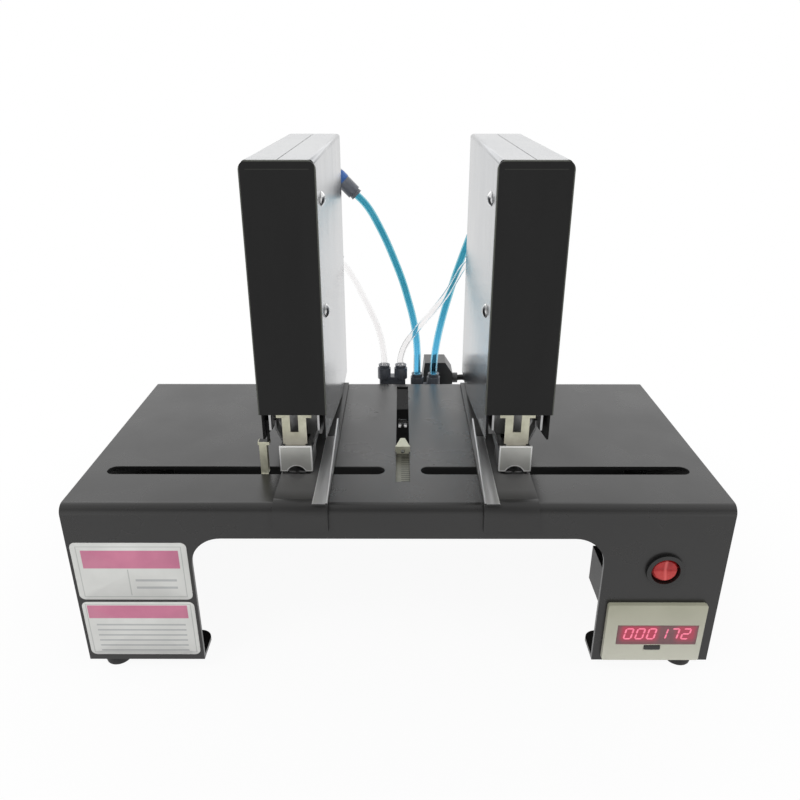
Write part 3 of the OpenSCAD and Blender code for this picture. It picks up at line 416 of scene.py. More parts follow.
def bench_paint():
    """Black powder coat: orange peel about a millimetre wide, a cloudy gloss and a fine grain, painted
    greyer between the heads as a painted reflection of the bright sky. The slots' walls and the inside of
    the table, but for the top of its rear wall, are painted near black as painted shade."""
    paint = Finish("bench_paint")
    _, y, z = paint.on_machine()
    x = paint.axes(paint.place)[0]
    cloud = paint.math("ADD", paint.math("MULTIPLY", paint.noise(9, detail=5), 0.7),
                       paint.math("MULTIPLY", paint.noise(1200, detail=2), 0.3))
    coat = paint.shades(cloud, grey(0.014, 0.02), grey(0.018, 0.02))
    # Painted reflection: the top is painted greyer between the heads, standing in for the bright sky it
    # mirrors there.
    aside = paint.size(paint.math("SUBTRACT", x, REFLECTION_MIDDLE * MM))
    wear_and_sheen = paint.both(paint.spread(aside, 1, 0, REFLECTION_HALF[0] * MM, REFLECTION_HALF[1] * MM),
                        paint.spread(y, 0, 1, *REFLECTION_DEEP), paint.above(z, INSIDE_TOP))
    coat = paint.over(wear_and_sheen, coat, grey(0.12, 0.01))
    # Painted shade: the slots' walls and the table's inside, but for the top of its rear wall, are painted
    # near black.
    shaded = paint.either(paint.below(y, REAR_WALL), paint.below(z, REAR_WALL_LIT))
    inside = paint.both(paint.within(y, INSIDE_FRONT, INSIDE_BACK), paint.below(z, INSIDE_TOP),
                        paint.below(paint.size(x), INSIDE_END * MM), shaded)
    paint.colour(paint.over(inside, coat, grey(0.001)))
    paint.rough(paint.over(inside, paint.spread(paint.noise(30, detail=6), 0.25, 0.33), grey(0.95)))
    paint.relief(paint.noise(750, detail=1), 0.00003, 0.2)
    return paint.material


BASE_BEND = 2.0
BASE_FLAT = 16.0


def base_paint():
    """The powder coat of the base plates, painted greyer on their flat than over the bend, as painted light.
    """
    paint = Finish("base_paint")
    # Painted light: the flat is painted greyer than the bend, standing in for the light it catches.
    wear_and_sheen = paint.spread(paint.on_machine()[1], 0, 1, BASE_BEND, BASE_FLAT)
    cloud = paint.noise(25, detail=5)
    black = paint.shades(cloud, grey(0.014, 0.02), grey(0.018, 0.02))
    with_painted_light = paint.shades(cloud, grey(0.07, 0.01), grey(0.095, 0.01))
    paint.colour(paint.over(wear_and_sheen, black, with_painted_light))
    paint.rough(paint.spread(paint.noise(30, detail=6), 0.3, 0.42))
    paint.relief(paint.noise(750, detail=1), 0.00003, 0.2)
    return paint.material


PLATE_RIM = 0.7
PLATE_LINE_DOWN = 4.4
PLATE_LINE_HALF = 17.0
PLATE_LINE_W = 0.5


def plate_paint():
    """Smooth black paint on the front plates, wiped clean, with a painted highlight on their round rim, and
    a faint line under the top."""
    paint = Finish("plate_paint", Specular_IOR_Level=0.2)
    right, _, top = (float(end) for end in table_box("left_front_plate")[1])
    x, _, z = paint.on_machine()
    across = paint.size(x)
    wear_and_sheen = paint.noise(16, detail=5, stretch=(3, 3, 0.5))
    base = paint.tones(wear_and_sheen, [(0.35, grey(0.008)), (0.7, grey(0.011))])
    line_z = top - PLATE_LINE_DOWN
    line = paint.both(paint.within(z, line_z - PLATE_LINE_W, line_z), paint.below(across, PLATE_LINE_HALF))
    # Painted highlight: the round rim is painted lighter, as if it caught the light; the faint line under
    # the top is not light.
    rim = paint.either(paint.above(across, right - HEAD_X["left"] - PLATE_RIM),
                       paint.above(z, top - PLATE_RIM))
    highlight_and_line = paint.either(paint.both(line, 0.2), paint.both(rim, 0.8))
    paint.colour(paint.over(highlight_and_line, base, (0.1, 0.105, 0.09)))
    paint.gloss(wear_and_sheen, 0.28, 0.38)
    paint.relief(paint.noise(900, detail=1), 0.00003, 0.2)
    return paint.material


COVER_FRONT_EDGE = 37.35
COVER_INSIDE_HALF = 18.4
COVER_INSIDE_TOP = 189.4
COVER_INSIDE_BACK = 212.9


def cover_steel():
    """Polished stainless sheet, with fine upright polishing lines and soft waves. Its inside is dull and
    painted darker as painted shade, and its cut front edge is painted dark as painted shade."""
    steel = Finish("cover_steel", Metallic=1.0)
    x, y, z = steel.on_machine()
    lines = steel.noise(420, stretch=(3, 3, 0.02))
    smear = steel.noise(14, detail=3)
    polish = steel.shades(smear, (0.39, 0.4, 0.415), (0.46, 0.465, 0.47))
    # Painted shade: the inside is painted darker; its higher roughness is the real dull finish, and dull
    # below holds both.
    inside = steel.both(steel.below(steel.size(x), COVER_INSIDE_HALF),
                        steel.below(z, COVER_INSIDE_TOP), steel.below(y, COVER_INSIDE_BACK))
    # Painted shade: the cut front edge is painted near black.
    edge = steel.below(y, COVER_FRONT_EDGE)
    dull = steel.over(inside, polish, (0.15, 0.152, 0.158))
    steel.colour(steel.over(edge, dull, grey(0.012)))
    steel.rough(steel.over(inside, steel.spread(lines, 0.17, 0.27), grey(0.5)))
    steel.relief(lines, 0.00002, 0.1)
    steel.relief(steel.noise(11, detail=1), 0.0004, 0.08)
    return steel.material


NOSE_HALF = 10.2
NOSE_FOOT = float(table_box("left_nose")[0, 2])
NOSE_TOP = 21.2
NOTCH_W = 11.4
NOTCH_H = 3.8
NOSE_EDGE = 0.85
NOSE_FRONT_BACK = 39.0


def nose_steel():
    """Nickel plate on the nose: a level grey front, with a painted highlight along its outline and along the
    notch, which is an arc of radius (w^2/4 + h^2) / 2h. The walls and wings behind the front are duller."""
    steel = Finish("nose_steel", Metallic=0.7)
    x, y, z = steel.on_machine()
    notch_r = (NOTCH_W**2 / 4 + NOTCH_H**2) / (2 * NOTCH_H)
    up = steel.math("SUBTRACT", z, NOSE_FOOT + NOTCH_H - notch_r)
    away = steel.length(x, up)
    # Painted highlight: the outline and the notch's edge are painted near white, as if their round edges
    # caught the light.
    outline = steel.either(steel.above(steel.size(x), NOSE_HALF - NOSE_EDGE),
                           steel.below(z, NOSE_FOOT + NOSE_EDGE),
                           steel.above(z, NOSE_TOP - NOSE_EDGE),
                           steel.below(away, notch_r + NOSE_EDGE))
    front = steel.below(y, NOSE_FRONT_BACK)
    scratches = steel.noise(420, stretch=(1, 1, 0.1))
    haze = steel.noise(60)
    plate = steel.shades(haze, (0.5, 0.5, 0.47), (0.58, 0.58, 0.55))
    with_painted_light = steel.over(outline, plate, (0.95, 0.95, 0.93))
    steel.colour(steel.over(front, grey(0.2), with_painted_light))
    steel.gloss(haze, 0.26, 0.36)
    steel.relief(scratches, 0.00001, 0.05)
    return steel.material


RAIL_FRONT_CUT = -1.75
RAIL_EDGE = 0.7


def rail_steel():
    """Satin stainless of the side rails, brushed along their length, with a painted highlight on the edge
    beside the head and a dark cut at their front end."""
    steel = Finish("rail_steel", Metallic=0.9)
    x, y, _ = steel.on_machine()
    head_side = float(table_box("left_guide_rail")[0, 0]) - HEAD_X["left"]
    # Painted highlight: the edge beside the head is painted near white, as if it caught the light.
    edge = steel.below(steel.size(x), head_side + RAIL_EDGE)
    brushed = steel.noise(380, stretch=(1, 0.03, 1))
    satin = steel.shades(brushed, grey(0.66), grey(0.78))
    satin = steel.over(edge, satin, grey(0.95))
    steel.colour(steel.over(steel.below(y, RAIL_FRONT_CUT), satin, grey(0.04)))
    steel.gloss(brushed, 0.34, 0.46)
    steel.relief(brushed, 0.00001, 0.15)
    return steel.material


PRONG_FROM = 1.1
PRONG_BACK = 127.0


def lever_steel():
    """Blackened spring steel of the trigger lever, rubbed bright on the two prongs of its fork."""
    steel = Finish("lever_steel", Metallic=0.8)
    y = steel.on_machine()[1]
    away = steel.size(steel.across_slot())
    prongs = steel.both(steel.above(away, PRONG_FROM), steel.below(y, PRONG_BACK))
    wear_and_sheen = steel.noise(500, stretch=(1, 0.1, 1))
    bright = steel.shades(wear_and_sheen, grey(0.8), grey(0.92))
    steel.colour(steel.over(prongs, grey(0.01), bright))
    steel.gloss(wear_and_sheen, 0.2, 0.34)
    steel.relief(wear_and_sheen, 0.00001, 0.15)
    return steel.material


def screw_steel():
    """Mirror-bright nickel of the cover screws, with a light haze."""
    steel = Finish("screw_steel", Metallic=1.0)
    haze = steel.noise(500)
    steel.colour(steel.shades(haze, grey(0.7), grey(0.8)))
    steel.gloss(haze, 0.06, 0.14)
    steel.relief(haze, 0.00001, 0.1)
    return steel.material


def plain_steel():
    """Mill-finished steel of the inner pieces, greyish and slightly oiled."""
    steel = Finish("plain_steel", Metallic=1.0)
    streaks = steel.noise(260, detail=5, stretch=(1, 0.12, 1))
    steel.colour(steel.shades(steel.noise(35, detail=6), grey(0.36), grey(0.5)))
    steel.gloss(streaks, 0.28, 0.45)
    steel.relief(streaks, 0.00003, 0.25)
    return steel.material


ZINC_DULL = (1.0, 0.98, 0.75)
ZINC_CLEAN = (1.0, 0.985, 0.79)


def zinc(name, dull, clean):
    """Yellow-grey zinc plating, mottled and satin, from a dull to a clean level, and its colour."""
    plating = Finish(name, Metallic=0.75)
    cloud = plating.noise(160, detail=6)
    plating.gloss(plating.noise(420, detail=3), 0.3, 0.46)
    plating.relief(cloud, 0.00004, 0.2)
    low = [dull * share for share in ZINC_DULL]
    high = [clean * share for share in ZINC_CLEAN]
    return plating, plating.shades(cloud, low, high)


POST_SHOULDER = 21.4


def post_zinc():
    """The zinc of the guide post, painted dark above its shoulder as painted shade."""
    plating, base = zinc("post_zinc", 0.66, 0.82)
    # Painted shade: the post is painted near black above its shoulder.
    above = plating.above(plating.on_machine()[2], POST_SHOULDER)
    plating.colour(plating.over(above, base, grey(0.015)))
    return plating.material


FORK_FOOT = 21.0
FORK_DARK_END = 34.0


def driver_zinc():
    """The zinc of the drivers, darker and browner towards the foot of the fork."""
    plating, base = zinc("driver_zinc", 0.48, 0.62)
    # Darker and browner towards the foot of the fork.
    darker_tint = plating.spread(plating.on_machine()[2], 0.55, 0, FORK_FOOT, FORK_DARK_END)
    plating.colour(plating.over(darker_tint, base, (0.2, 0.17, 0.165)))
    return plating.material


STRIP_TICK_PITCH = 2.5
STRIP_TICK_SHARE = 0.3
STRIP_TICK_FROM = -1.0
STRIP_TOP = -1.0
TAB_HOLE_Z = 0.7
TAB_HOLE_R = 1.4


def stop_scale():
    """The zinc of the stop: a cream tab with a hole painted dark as painted shade, and below the table's top
    a plate painted darker as painted shade in the slot, with dark ticks every few millimetres across most of
    it."""
    plating = Finish("stop_scale", Metallic=0.6)
    _, y, z = plating.on_machine()
    x = plating.across_slot()
    cloud = plating.noise(160, detail=6)
    cream = plating.shades(cloud, (0.56, 0.56, 0.44), (0.7, 0.7, 0.57))
    # Painted shade: the plate below the table's top is the same zinc painted darker for the slot's shade;
    # the ticks are print.
    shaded_zinc = plating.shades(cloud, (0.16, 0.16, 0.13), (0.25, 0.25, 0.21))
    step = plating.math("FRACT", plating.math("DIVIDE", y, STRIP_TICK_PITCH))
    tick = plating.both(plating.below(step, STRIP_TICK_SHARE),
                        plating.above(x, STRIP_TICK_FROM))
    scale = plating.over(plating.both(tick, 0.85), shaded_zinc, grey(0.015))
    up = plating.math("SUBTRACT", z, TAB_HOLE_Z)
    # Painted shade: a near-black disc painted where the tab's hole is.
    painted_hole = plating.below(plating.length(x, up), TAB_HOLE_R)
    tab = plating.over(painted_hole, cream, grey(0.01))
    plating.colour(plating.over(plating.below(z, STRIP_TOP), tab, scale))
    plating.gloss(cloud, 0.36, 0.5)
    plating.relief(cloud, 0.00003, 0.2)
    return plating.material


def cast_aluminium():
    """Bead-blasted aluminium of the valve and the cylinders."""
    metal = Finish("cast_aluminium", Metallic=1.0)
    grain = metal.noise(1500, detail=2)
    metal.colour(metal.shades(metal.noise(25), grey(0.5), grey(0.6)))
    metal.gloss(grain, 0.36, 0.5)
    metal.relief(grain, 0.00003, 0.3)
    return metal.material


def sintered_brass():
    """The porous brass of the silencers: packed grains a third of a millimetre wide."""
    brass = Finish("sintered_brass", Metallic=1.0)
    grains = brass.node("TexVoronoi", [brass.place])
    grains.inputs["Scale"].default_value = 2600
    packing = grains.outputs["Distance"]
    brass.colour(brass.tones(packing, [(0.1, (0.62, 0.42, 0.16)), (0.7, (0.25, 0.15, 0.05))]))
    brass.gloss(packing, 0.35, 0.6)
    brass.relief(packing, -0.0002, 0.8)
    return brass.material


def moulded_black(name="moulded_black", level=0.014, low=0.34, high=0.5):
    """Black moulded plastic with a spark-eroded grain."""
    plastic = Finish(name)
    grain = plastic.noise(1400, detail=3)
    plastic.colour(plastic.shades(plastic.noise(40), grey(level), grey(level * 1.5)))
    plastic.gloss(grain, low, high)
    plastic.relief(grain, 0.00004, 0.3)
    return plastic.material


def foot_rubber():
    """Matt rubber, dusty in its pores."""
    rubber = Finish("foot_rubber")
    pores = rubber.noise(900, detail=5)
    rubber.colour(rubber.tones(pores, [(0.35, grey(0.006)), (0.75, grey(0.016))]))
    rubber.gloss(pores, 0.62, 0.8)
    rubber.relief(pores, 0.0001, 0.35)
    return rubber.material


def fitting_plastic():
    """Dark blue-grey glass-filled plastic of the push-in fittings."""
    plastic = Finish("fitting_plastic")
    flow = plastic.noise(130, detail=6)
    plastic.colour(plastic.shades(flow, (0.18, 0.195, 0.228), (0.24, 0.258, 0.296)))
    plastic.gloss(flow, 0.24, 0.38)
    plastic.relief(plastic.noise(1600, detail=2), 0.00003, 0.2)
    return plastic.material


def collar_blue():
    """Blue acetal of the fittings' collars."""
    acetal = Finish("collar_blue")
    flow = acetal.noise(200)
    acetal.colour(acetal.shades(flow, (0.04, 0.15, 0.5), (0.06, 0.2, 0.6)))
    acetal.gloss(flow, 0.25, 0.36)
    acetal.relief(acetal.noise(1500, detail=2), 0.00003, 0.15)
    return acetal.material


ROCKER_HIGHLIGHT = 1.3


def rocker_red():
    """Clear red polycarbonate over a lamp: the upper half painted deep red as painted shade with a painted
    highlight stripe in its middle, the lower half painted paler as painted light, and fine prisms moulded
    under the skin."""
    lens = Finish("rocker_red", Specular_IOR_Level=0.3, Coat_Weight=0.15, Coat_Roughness=0.08,
                  Emission_Strength=0.12)
    low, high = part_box("switch_rocker")
    x, _, z = lens.axes(lens.place)
    across = lens.math("DIVIDE", lens.math("SUBTRACT", x, (low.x + high.x) / 2), MM)
    up = lens.math("DIVIDE", lens.math("SUBTRACT", z, (low.z + high.z) / 2), MM)
    flow = lens.noise(260, detail=3)
    # Painted light and shade: the two halves are lit and shaded copies of one red, the stripe a painted
    # highlight, and the glow carries them too.
    shaded_red = lens.shades(flow, (0.28, 0.008, 0.01), (0.42, 0.02, 0.02))
    lit_pale = lens.shades(flow, (0.4, 0.035, 0.035), (0.52, 0.07, 0.065))
    lit_and_shaded_halves = lens.over(lens.spread(up, 0, 1, 0.6, -0.6), shaded_red, lit_pale)
    highlight_stripe = lens.spread(lens.size(across), 0.75, 0, 0.2, ROCKER_HIGHLIGHT)
    red = lens.over(highlight_stripe, lit_and_shaded_halves, (0.66, 0.12, 0.115))
    lens.colour(red)
    lens.feed("Emission_Color", red)
    lens.gloss(flow, 0.12, 0.2)
    prisms = lens.math("PINGPONG", across, 0.9)
    lens.relief(prisms, 0.0002, 0.35)
    return lens.material


BEZEL_PALER = 0.7


def counter_shell():
    """The counter: a beige bezel in front of the table, paler towards its foot, and a dark case behind."""
    shell = Finish("counter_shell")
    grain = shell.noise(1300, detail=3)
    cloud = shell.noise(30, detail=3)
    beige = shell.shades(cloud, (0.38, 0.377, 0.285), (0.45, 0.445, 0.345))
    low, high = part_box("counter_housing")
    _, y, z = shell.axes(shell.place)
    # Paler towards the foot of the bezel.
    toward_foot = shell.spread(z, BEZEL_PALER, 0, low.z, high.z)
    beige = shell.over(toward_foot, beige, (0.72, 0.72, 0.63))
    dark = shell.shades(cloud, grey(0.035, 0.02), grey(0.05, 0.02))
    behind = shell.above(y, float(TABLE_CORNER[1]))
    shell.colour(shell.over(behind, beige, dark))
    shell.gloss(grain, 0.42, 0.56)
    shell.relief(grain, 0.00004, 0.3)
    return shell.material


def window_red():
    """Smoky red acrylic, glowing round the figures that are lit."""
    window = Finish("window_red", Coat_Weight=0.5, Coat_Roughness=0.06, Emission_Strength=0.22)
    low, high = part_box("counter_window")
    x, _, z = window.axes(window.place)
    along = window.spread(x, 0, 1, low.x, high.x)
    up = window.spread(z, 0, 1, low.z, high.z)
    glow = window.tones(along, [
        (0.02, grey(0.15)), (0.08, grey(1.0)), (0.46, grey(1.0)), (0.54, grey(0.12)), (0.7, grey(0.12)),
        (0.78, grey(0.85)), (0.95, grey(0.8)), (0.99, grey(0.2)),
    ])
    lift = window.tones(up, [(0.1, grey(0.2)), (0.34, grey(1.0)), (0.9, grey(1.0)), (0.98, grey(0.4))])
    share = window.both(glow, lift)
    darker_tint = window.noise(400, detail=2)
    idle = window.shades(darker_tint, (0.11, 0.045, 0.052), (0.14, 0.058, 0.066))
    window.colour(window.over(share, idle, (0.30, 0.006, 0.035)))
    window.feed("Emission_Color", window.over(share, (0.05, 0.01, 0.015), (0.72, 0.02, 0.1)))
    window.gloss(darker_tint, 0.12, 0.2)
    window.relief(window.noise(300, detail=1), 0.00003, 0.15)
    return window.material


def figure_light():
    """The lit bars of the counter's figures, a little paler in their middle."""
    light = Finish("figure_light", Emission_Strength=0.55)
    cloud = light.noise(900, detail=2)
    light.colour(light.shades(cloud, (0.55, 0.1, 0.17), (0.65, 0.16, 0.24)))
    light.feed("Emission_Color", light.shades(cloud, (0.85, 0.16, 0.27), (1.0, 0.27, 0.4)))
    light.gloss(cloud, 0.3, 0.4)
    return light.material


HOSE_LIT_SPAN = (8.0, 70.0)


def hose_skin(name, dull, clean, low, high, **values):
    """Clear polyurethane, cloudy along its length from a dull to a clean tint: the finish and its colour."""
    hose = Finish(name, Transmission_Weight=1.0, **values)
    cloud = hose.noise(45, detail=5)
    hose.gloss(cloud, low, high)
    hose.relief(hose.noise(90, detail=1), 0.00004, 0.1)
    return hose, hose.shades(cloud, dull, clean)


def blue_hose():
    """Blue hose, painted paler towards the fittings below as painted light."""
    hose, blue = hose_skin("blue_hose", (0.17, 0.5, 0.6), (0.23, 0.56, 0.66), 0.05, 0.11,
                           IOR=1.25, Coat_Weight=0.2, Coat_Roughness=0.1)
    # Painted light: the lower part of the hose is painted paler.
    lit_pale = hose.spread(hose.on_machine()[2], 1, 0, *HOSE_LIT_SPAN)
    hose.colour(hose.over(lit_pale, blue, (0.33, 0.7, 0.89)))
    return hose.material


def clear_hose():
    """Clear hose with a faint haze."""
    hose, haze = hose_skin("clear_hose", (0.93, 0.92, 0.92), (0.97, 0.965, 0.965), 0.03, 0.07,
                           IOR=1.18, Coat_Weight=0.12, Coat_Roughness=0.08)
    hose.colour(haze)
    return hose.material


STAPLE_PITCH = 0.0007


def staple_wire():
    """A strip of staples: bright wires side by side, glued, with a groove between two, painted darker as
    painted shade.
    """
    wire = Finish("staple_wire", Metallic=1.0)
    along = wire.math("FRACT", wire.math("DIVIDE", wire.axes(wire.place)[1], STAPLE_PITCH))
    ridge = wire.math("SINE", wire.math("MULTIPLY", along, math.pi))
    # Painted shade: each wire is painted darker towards the grooves beside it.
    wire.colour(wire.tones(ridge, [(0.1, grey(0.3)), (0.5, grey(0.66))]))
    wire.gloss(wire.noise(600), 0.2, 0.34)
    wire.relief(ridge, 0.0002, 0.8)
    return wire.material


FILM_INK = (0.34, 0.36, 0.34)


def plate_film(name, band, border, line, rules, divider=None):
    """Printed film in its own 0 to 1 map: off-white, with a pink band, a border, faint ruled lines and a
    dividing line. Boxes are left, right, low and high on the map, line is the border's width across and up,
    and rules are a box, a count and the share of a step that is inked."""
    film = Finish(name, Coat_Weight=0.25, Coat_Roughness=0.2)
    u, v, _ = film.axes(film.map)
    cloud = film.noise(60)
    base = film.shades(cloud, (0.68, 0.685, 0.66), (0.75, 0.755, 0.73))
    left, right, low, high = border
    inside = film.in_box(u, v, left + line[0], right - line[0], low + line[1], high - line[1])
    frame_line = film.math("SUBTRACT", film.in_box(u, v, *border), inside)
    base = film.over(film.both(frame_line, 0.55), base, FILM_INK)
    box, count, share = rules
    step = film.math("FRACT", film.spread(v, 0, count, *box[2:]))
    ruled = film.both(film.below(step, share), film.in_box(u, v, *box))
    base = film.over(film.both(ruled, 0.6), base, (0.3, 0.31, 0.33))
    if divider:
        base = film.over(film.both(film.in_box(u, v, *divider), 0.55), base, FILM_INK)
    pink = film.shades(cloud, (0.54, 0.165, 0.275), (0.63, 0.21, 0.325))
    film.colour(film.over(film.in_box(u, v, *band), base, pink))
    film.gloss(film.noise(90, detail=5), 0.3, 0.45)
    film.relief(film.noise(220, detail=2), 0.00004, 0.15)
    return film.material


# The camera and the hoses come first

make_camera()

BLUE_OUTER, BLUE_BORE = 6.0, 4.0
CLEAR_OUTER, CLEAR_BORE = 5.0, 3.2
LEAD_OUTER = 5.0

HOSE_ROUTES = {
    "left_blue_tube": [
        (15.5, 211.5, 2), (15.5, 211.5, 8), (15.4, 213, 21), (14.2, 216.2, 35), (11.6, 220, 49),
        (7.4, 224, 64), (2.6, 227.7, 79), (-3.4, 231.1, 94), (-10, 234.3, 109), (-16.6, 236.8, 122),
        (-22.6, 238, 132.6), (-28, 238, 140), (-34, 238, 146),
    ],
    "right_blue_tube": [
        (29.5, 211.5, 2), (29.5, 211.5, 8), (30.6, 213, 21), (33.2, 216.8, 35), (37, 221.4, 50),
        (41.8, 226.2, 66), (47, 230.6, 82), (52.4, 234, 97), (57.6, 236.6, 111), (62, 238, 123),
        (64.8, 238, 133), (65.5, 238, 139), (65.5, 238, 144),
    ],
    "left_clear_tube": [
        (-12.5, 211.5, 10), (-12.5, 211.5, 16), (-14, 213, 28), (-17.7, 216, 41), (-23, 219.5, 53),
        (-29.2, 222.8, 65), (-35.6, 225.2, 77.4), (-43, 226, 89.5), (-48.5, 226, 95),
    ],
    "right_clear_tube": [
        (1.5, 211.5, 10), (1.5, 211.5, 16), (5, 211, 27), (11.5, 210.5, 37), (18.6, 210.7, 46),
        (26, 212, 54), (33, 214.5, 62), (40, 218.5, 70.5), (46.4, 222.8, 80), (52.5, 226, 89.5),
        (58, 226, 95),
    ],
}
LEAD_ROUTE = [
    (52, 239.5, -13), (58, 239.5, -13), (66, 238.5, -17), (73, 233.5, -24), (77, 224.5, -32),
    (78, 214.5, -38), (78, 205.5, -40), (78, 196.5, -40),
]


def make_hoses():
    """The four air tubes, each bending between the table and its head, and the lead of the coil's plug."""
    looks = {"blue": (blue_hose(), BLUE_OUTER, BLUE_BORE), "clear": (clear_hose(), CLEAR_OUTER, CLEAR_BORE)}
    for node, corners in HOSE_ROUTES.items():
        side, kind, _ = node.split("_")
        finish, outer, bore = looks[kind]
        line = on_table(smooth_route(corners))
        wall = hose_wall(line, outer * MM / 2, bore * MM / 2)
        hose = make_piece(side + "_" + kind + "_hose", *wall, finish)
        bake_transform(hose)
        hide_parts(node)
    line = on_table(smooth_route(LEAD_ROUTE))
    jacket = moulded_black("lead_jacket", 0.01, 0.4, 0.6)
    lead = make_piece("coil_lead", *solid_cord(line, LEAD_OUTER * MM / 2), jacket)
    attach(lead, "table")
    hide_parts("plug_lead")


make_hoses()


# Pieces that the frame leaves plain

SPRING_TURNS = 14
SPRING_WIRE = 0.6
SPRING_STEPS = 24
SPRING_COLUMNS = 8


def make_spring(side, finish):
    """The pusher's spring: a helix x = r cos a, z = r sin a, with y even along its length, as a round wire."""
    low, high = (np.array(corner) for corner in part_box(side + "_pusher_spring"))
    middle = (low + high) / 2
    radius = (high[0] - low[0] - SPRING_WIRE * MM) / 2
    share = np.linspace(0, 1, SPRING_TURNS * SPRING_STEPS + 1)
    angle = 2 * np.pi * SPRING_TURNS * share
    along = low[1] + share * (high[1] - low[1])
    line = np.stack([middle[0] + radius * np.cos(angle), along, middle[2] + radius * np.sin(angle)], axis=1)
    spring = make_piece(side + "_spring", *solid_cord(line, SPRING_WIRE * MM / 2, SPRING_COLUMNS), finish)
    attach(spring, side + "_head")
    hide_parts(side + "_pusher_spring")
    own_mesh(spring)


SCREW_HEAD_R = 4.5
SCREW_HEAD_H = 2.6
SCREW_SHANK_R = 2.0
SCREW_SOCKET_R = 1.25
SCREW_SOCKET_FLOOR = 0.7
SCREW_LIP = 0.35
SCREW_CHAMFER = (0.1, 0.08)
SCREW_DOME_ROWS = 9
SCREW_HEIGHTS = (100.0, 167.0)
SCREW_Y = 66.0
FRAME_HALF = 14.2


def screw_profile():
    """A button head: the shank, a round dome from a circle of radius R, and a six-sided socket."""
    ball = (SCREW_HEAD_H**2 + SCREW_HEAD_R**2) / (2 * SCREW_HEAD_H)
    radius = np.linspace(SCREW_HEAD_R, SCREW_SOCKET_R + SCREW_LIP, SCREW_DOME_ROWS)
    dome = np.stack([SCREW_HEAD_H - ball + np.sqrt(ball**2 - radius**2), radius], axis=1)
    lip = dome[-1, 0]
    shank = [(FRAME_HALF - COVER_HALF, 0), (FRAME_HALF - COVER_HALF, SCREW_SHANK_R), (0, SCREW_SHANK_R)]
    socket = [
        (lip, SCREW_SOCKET_R + SCREW_CHAMFER[1]), (lip - SCREW_CHAMFER[0], SCREW_SOCKET_R),
        (SCREW_SOCKET_FLOOR, SCREW_SOCKET_R), (SCREW_SOCKET_FLOOR, 0),
    ]
    rows = len(shank) + len(dome)
    return np.vstack([shank, dome, socket]) * MM, slice(rows, rows + len(socket) - 1)


def make_screws(side, finish):
    """The four screws that hold a head's covers, two on each side."""
    low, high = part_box(side + "_cover_screws")
    middle = (low.x + high.x) / 2
    profile, socket = screw_profile()
    screws = []
    for way in (-1, 1):
        for height in SCREW_HEIGHTS:
            seat = on_table((0, SCREW_Y, height)) + (middle + way * COVER_HALF * MM, 0, 0)
            screws.append(turned(profile, seat, (way, 0, 0), corners=socket))
    points, faces = joined(screws)
    piece = make_piece(side + "_button_screws", points, faces, finish)
    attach(piece, side + "_head")
    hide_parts(side + "_cover_screws")


PLATE_T = 0.35
PLATE_CORNER = 3.6
PLATE_EDGE = (0.6, 0.995)
PLATE_SPANS = {
    "upper_plate": (-198.0, -127.5, -67.0, -25.0),
    "lower_plate": (-198.0, -127.5, -110.7, -69.0),
}


def rounded_outline(width, height, corner, steps=10):
    """A rectangle about its middle with quarter circles at its corners, as points in turn."""
    quarter = np.linspace(0, np.pi / 2, steps)
    turn = (np.arange(4)[:, None] * np.pi / 2 + quarter).ravel()
    sign = np.array([(1, 1), (-1, 1), (-1, -1), (1, -1)], float).repeat(steps, axis=0)
    centre = sign * (width / 2 - corner, height / 2 - corner)
    return centre + corner * np.stack([np.cos(turn), np.sin(turn)], axis=1)


def make_front_plate(name, finish):
    """A thin film on the table's front: its outline in rows from the middle of the back, over a round edge,
    to the middle of the front."""
    left, right, bottom, top = PLATE_SPANS[name]
    size = np.array([right - left, top - bottom])
    outline = rounded_outline(*size, PLATE_CORNER)
    rows = [(0, 0.0), (0, 1.0), (PLATE_T * PLATE_EDGE[0], 1.0), (PLATE_T, PLATE_EDGE[1]), (PLATE_T, 0.0)]
    flat = np.stack([outline * share for _, share in rows])
    stand = np.array([height for height, _ in rows])[:, None].repeat(len(outline), axis=1)
    x = flat[..., 0] + (left + right) / 2
    z = flat[..., 1] + (bottom + top) / 2
    points = on_table(np.stack([x, -stand, z], axis=-1).reshape(-1, 3))
    plate = make_piece(name, points, grid_faces(len(rows), len(outline), join_columns=True), finish)
    mesh = plate.data
    corners = np.zeros(len(mesh.vertices) * 3)
    mesh.vertices.foreach_get("co", corners)
    at = (corners.reshape(-1, 3) - TABLE_CORNER) / MM
    share = (at[:, [0, 2]] - (left, bottom)) / size
    loops = np.zeros(len(mesh.loops), int)
    mesh.loops.foreach_get("vertex_index", loops)
    mesh.uv_layers.new(name="plate_map").data.foreach_set("uv", share[loops].ravel())
    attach(plate, "table")


FIGURES = "000172"
BARS = {"0": "abcdef", "1": "bc", "2": "abged", "7": "abc"}
FIGURE_W = 4.5
FIGURE_H = 7.9
FIGURE_PITCH = 7.25
FIGURE_LIFT = 1.0
FIGURE_SLANT = 0.16
BAR_HALF = 0.55
BAR_GAP = 0.12
BAR_DEPTH = (0.02, -0.06)


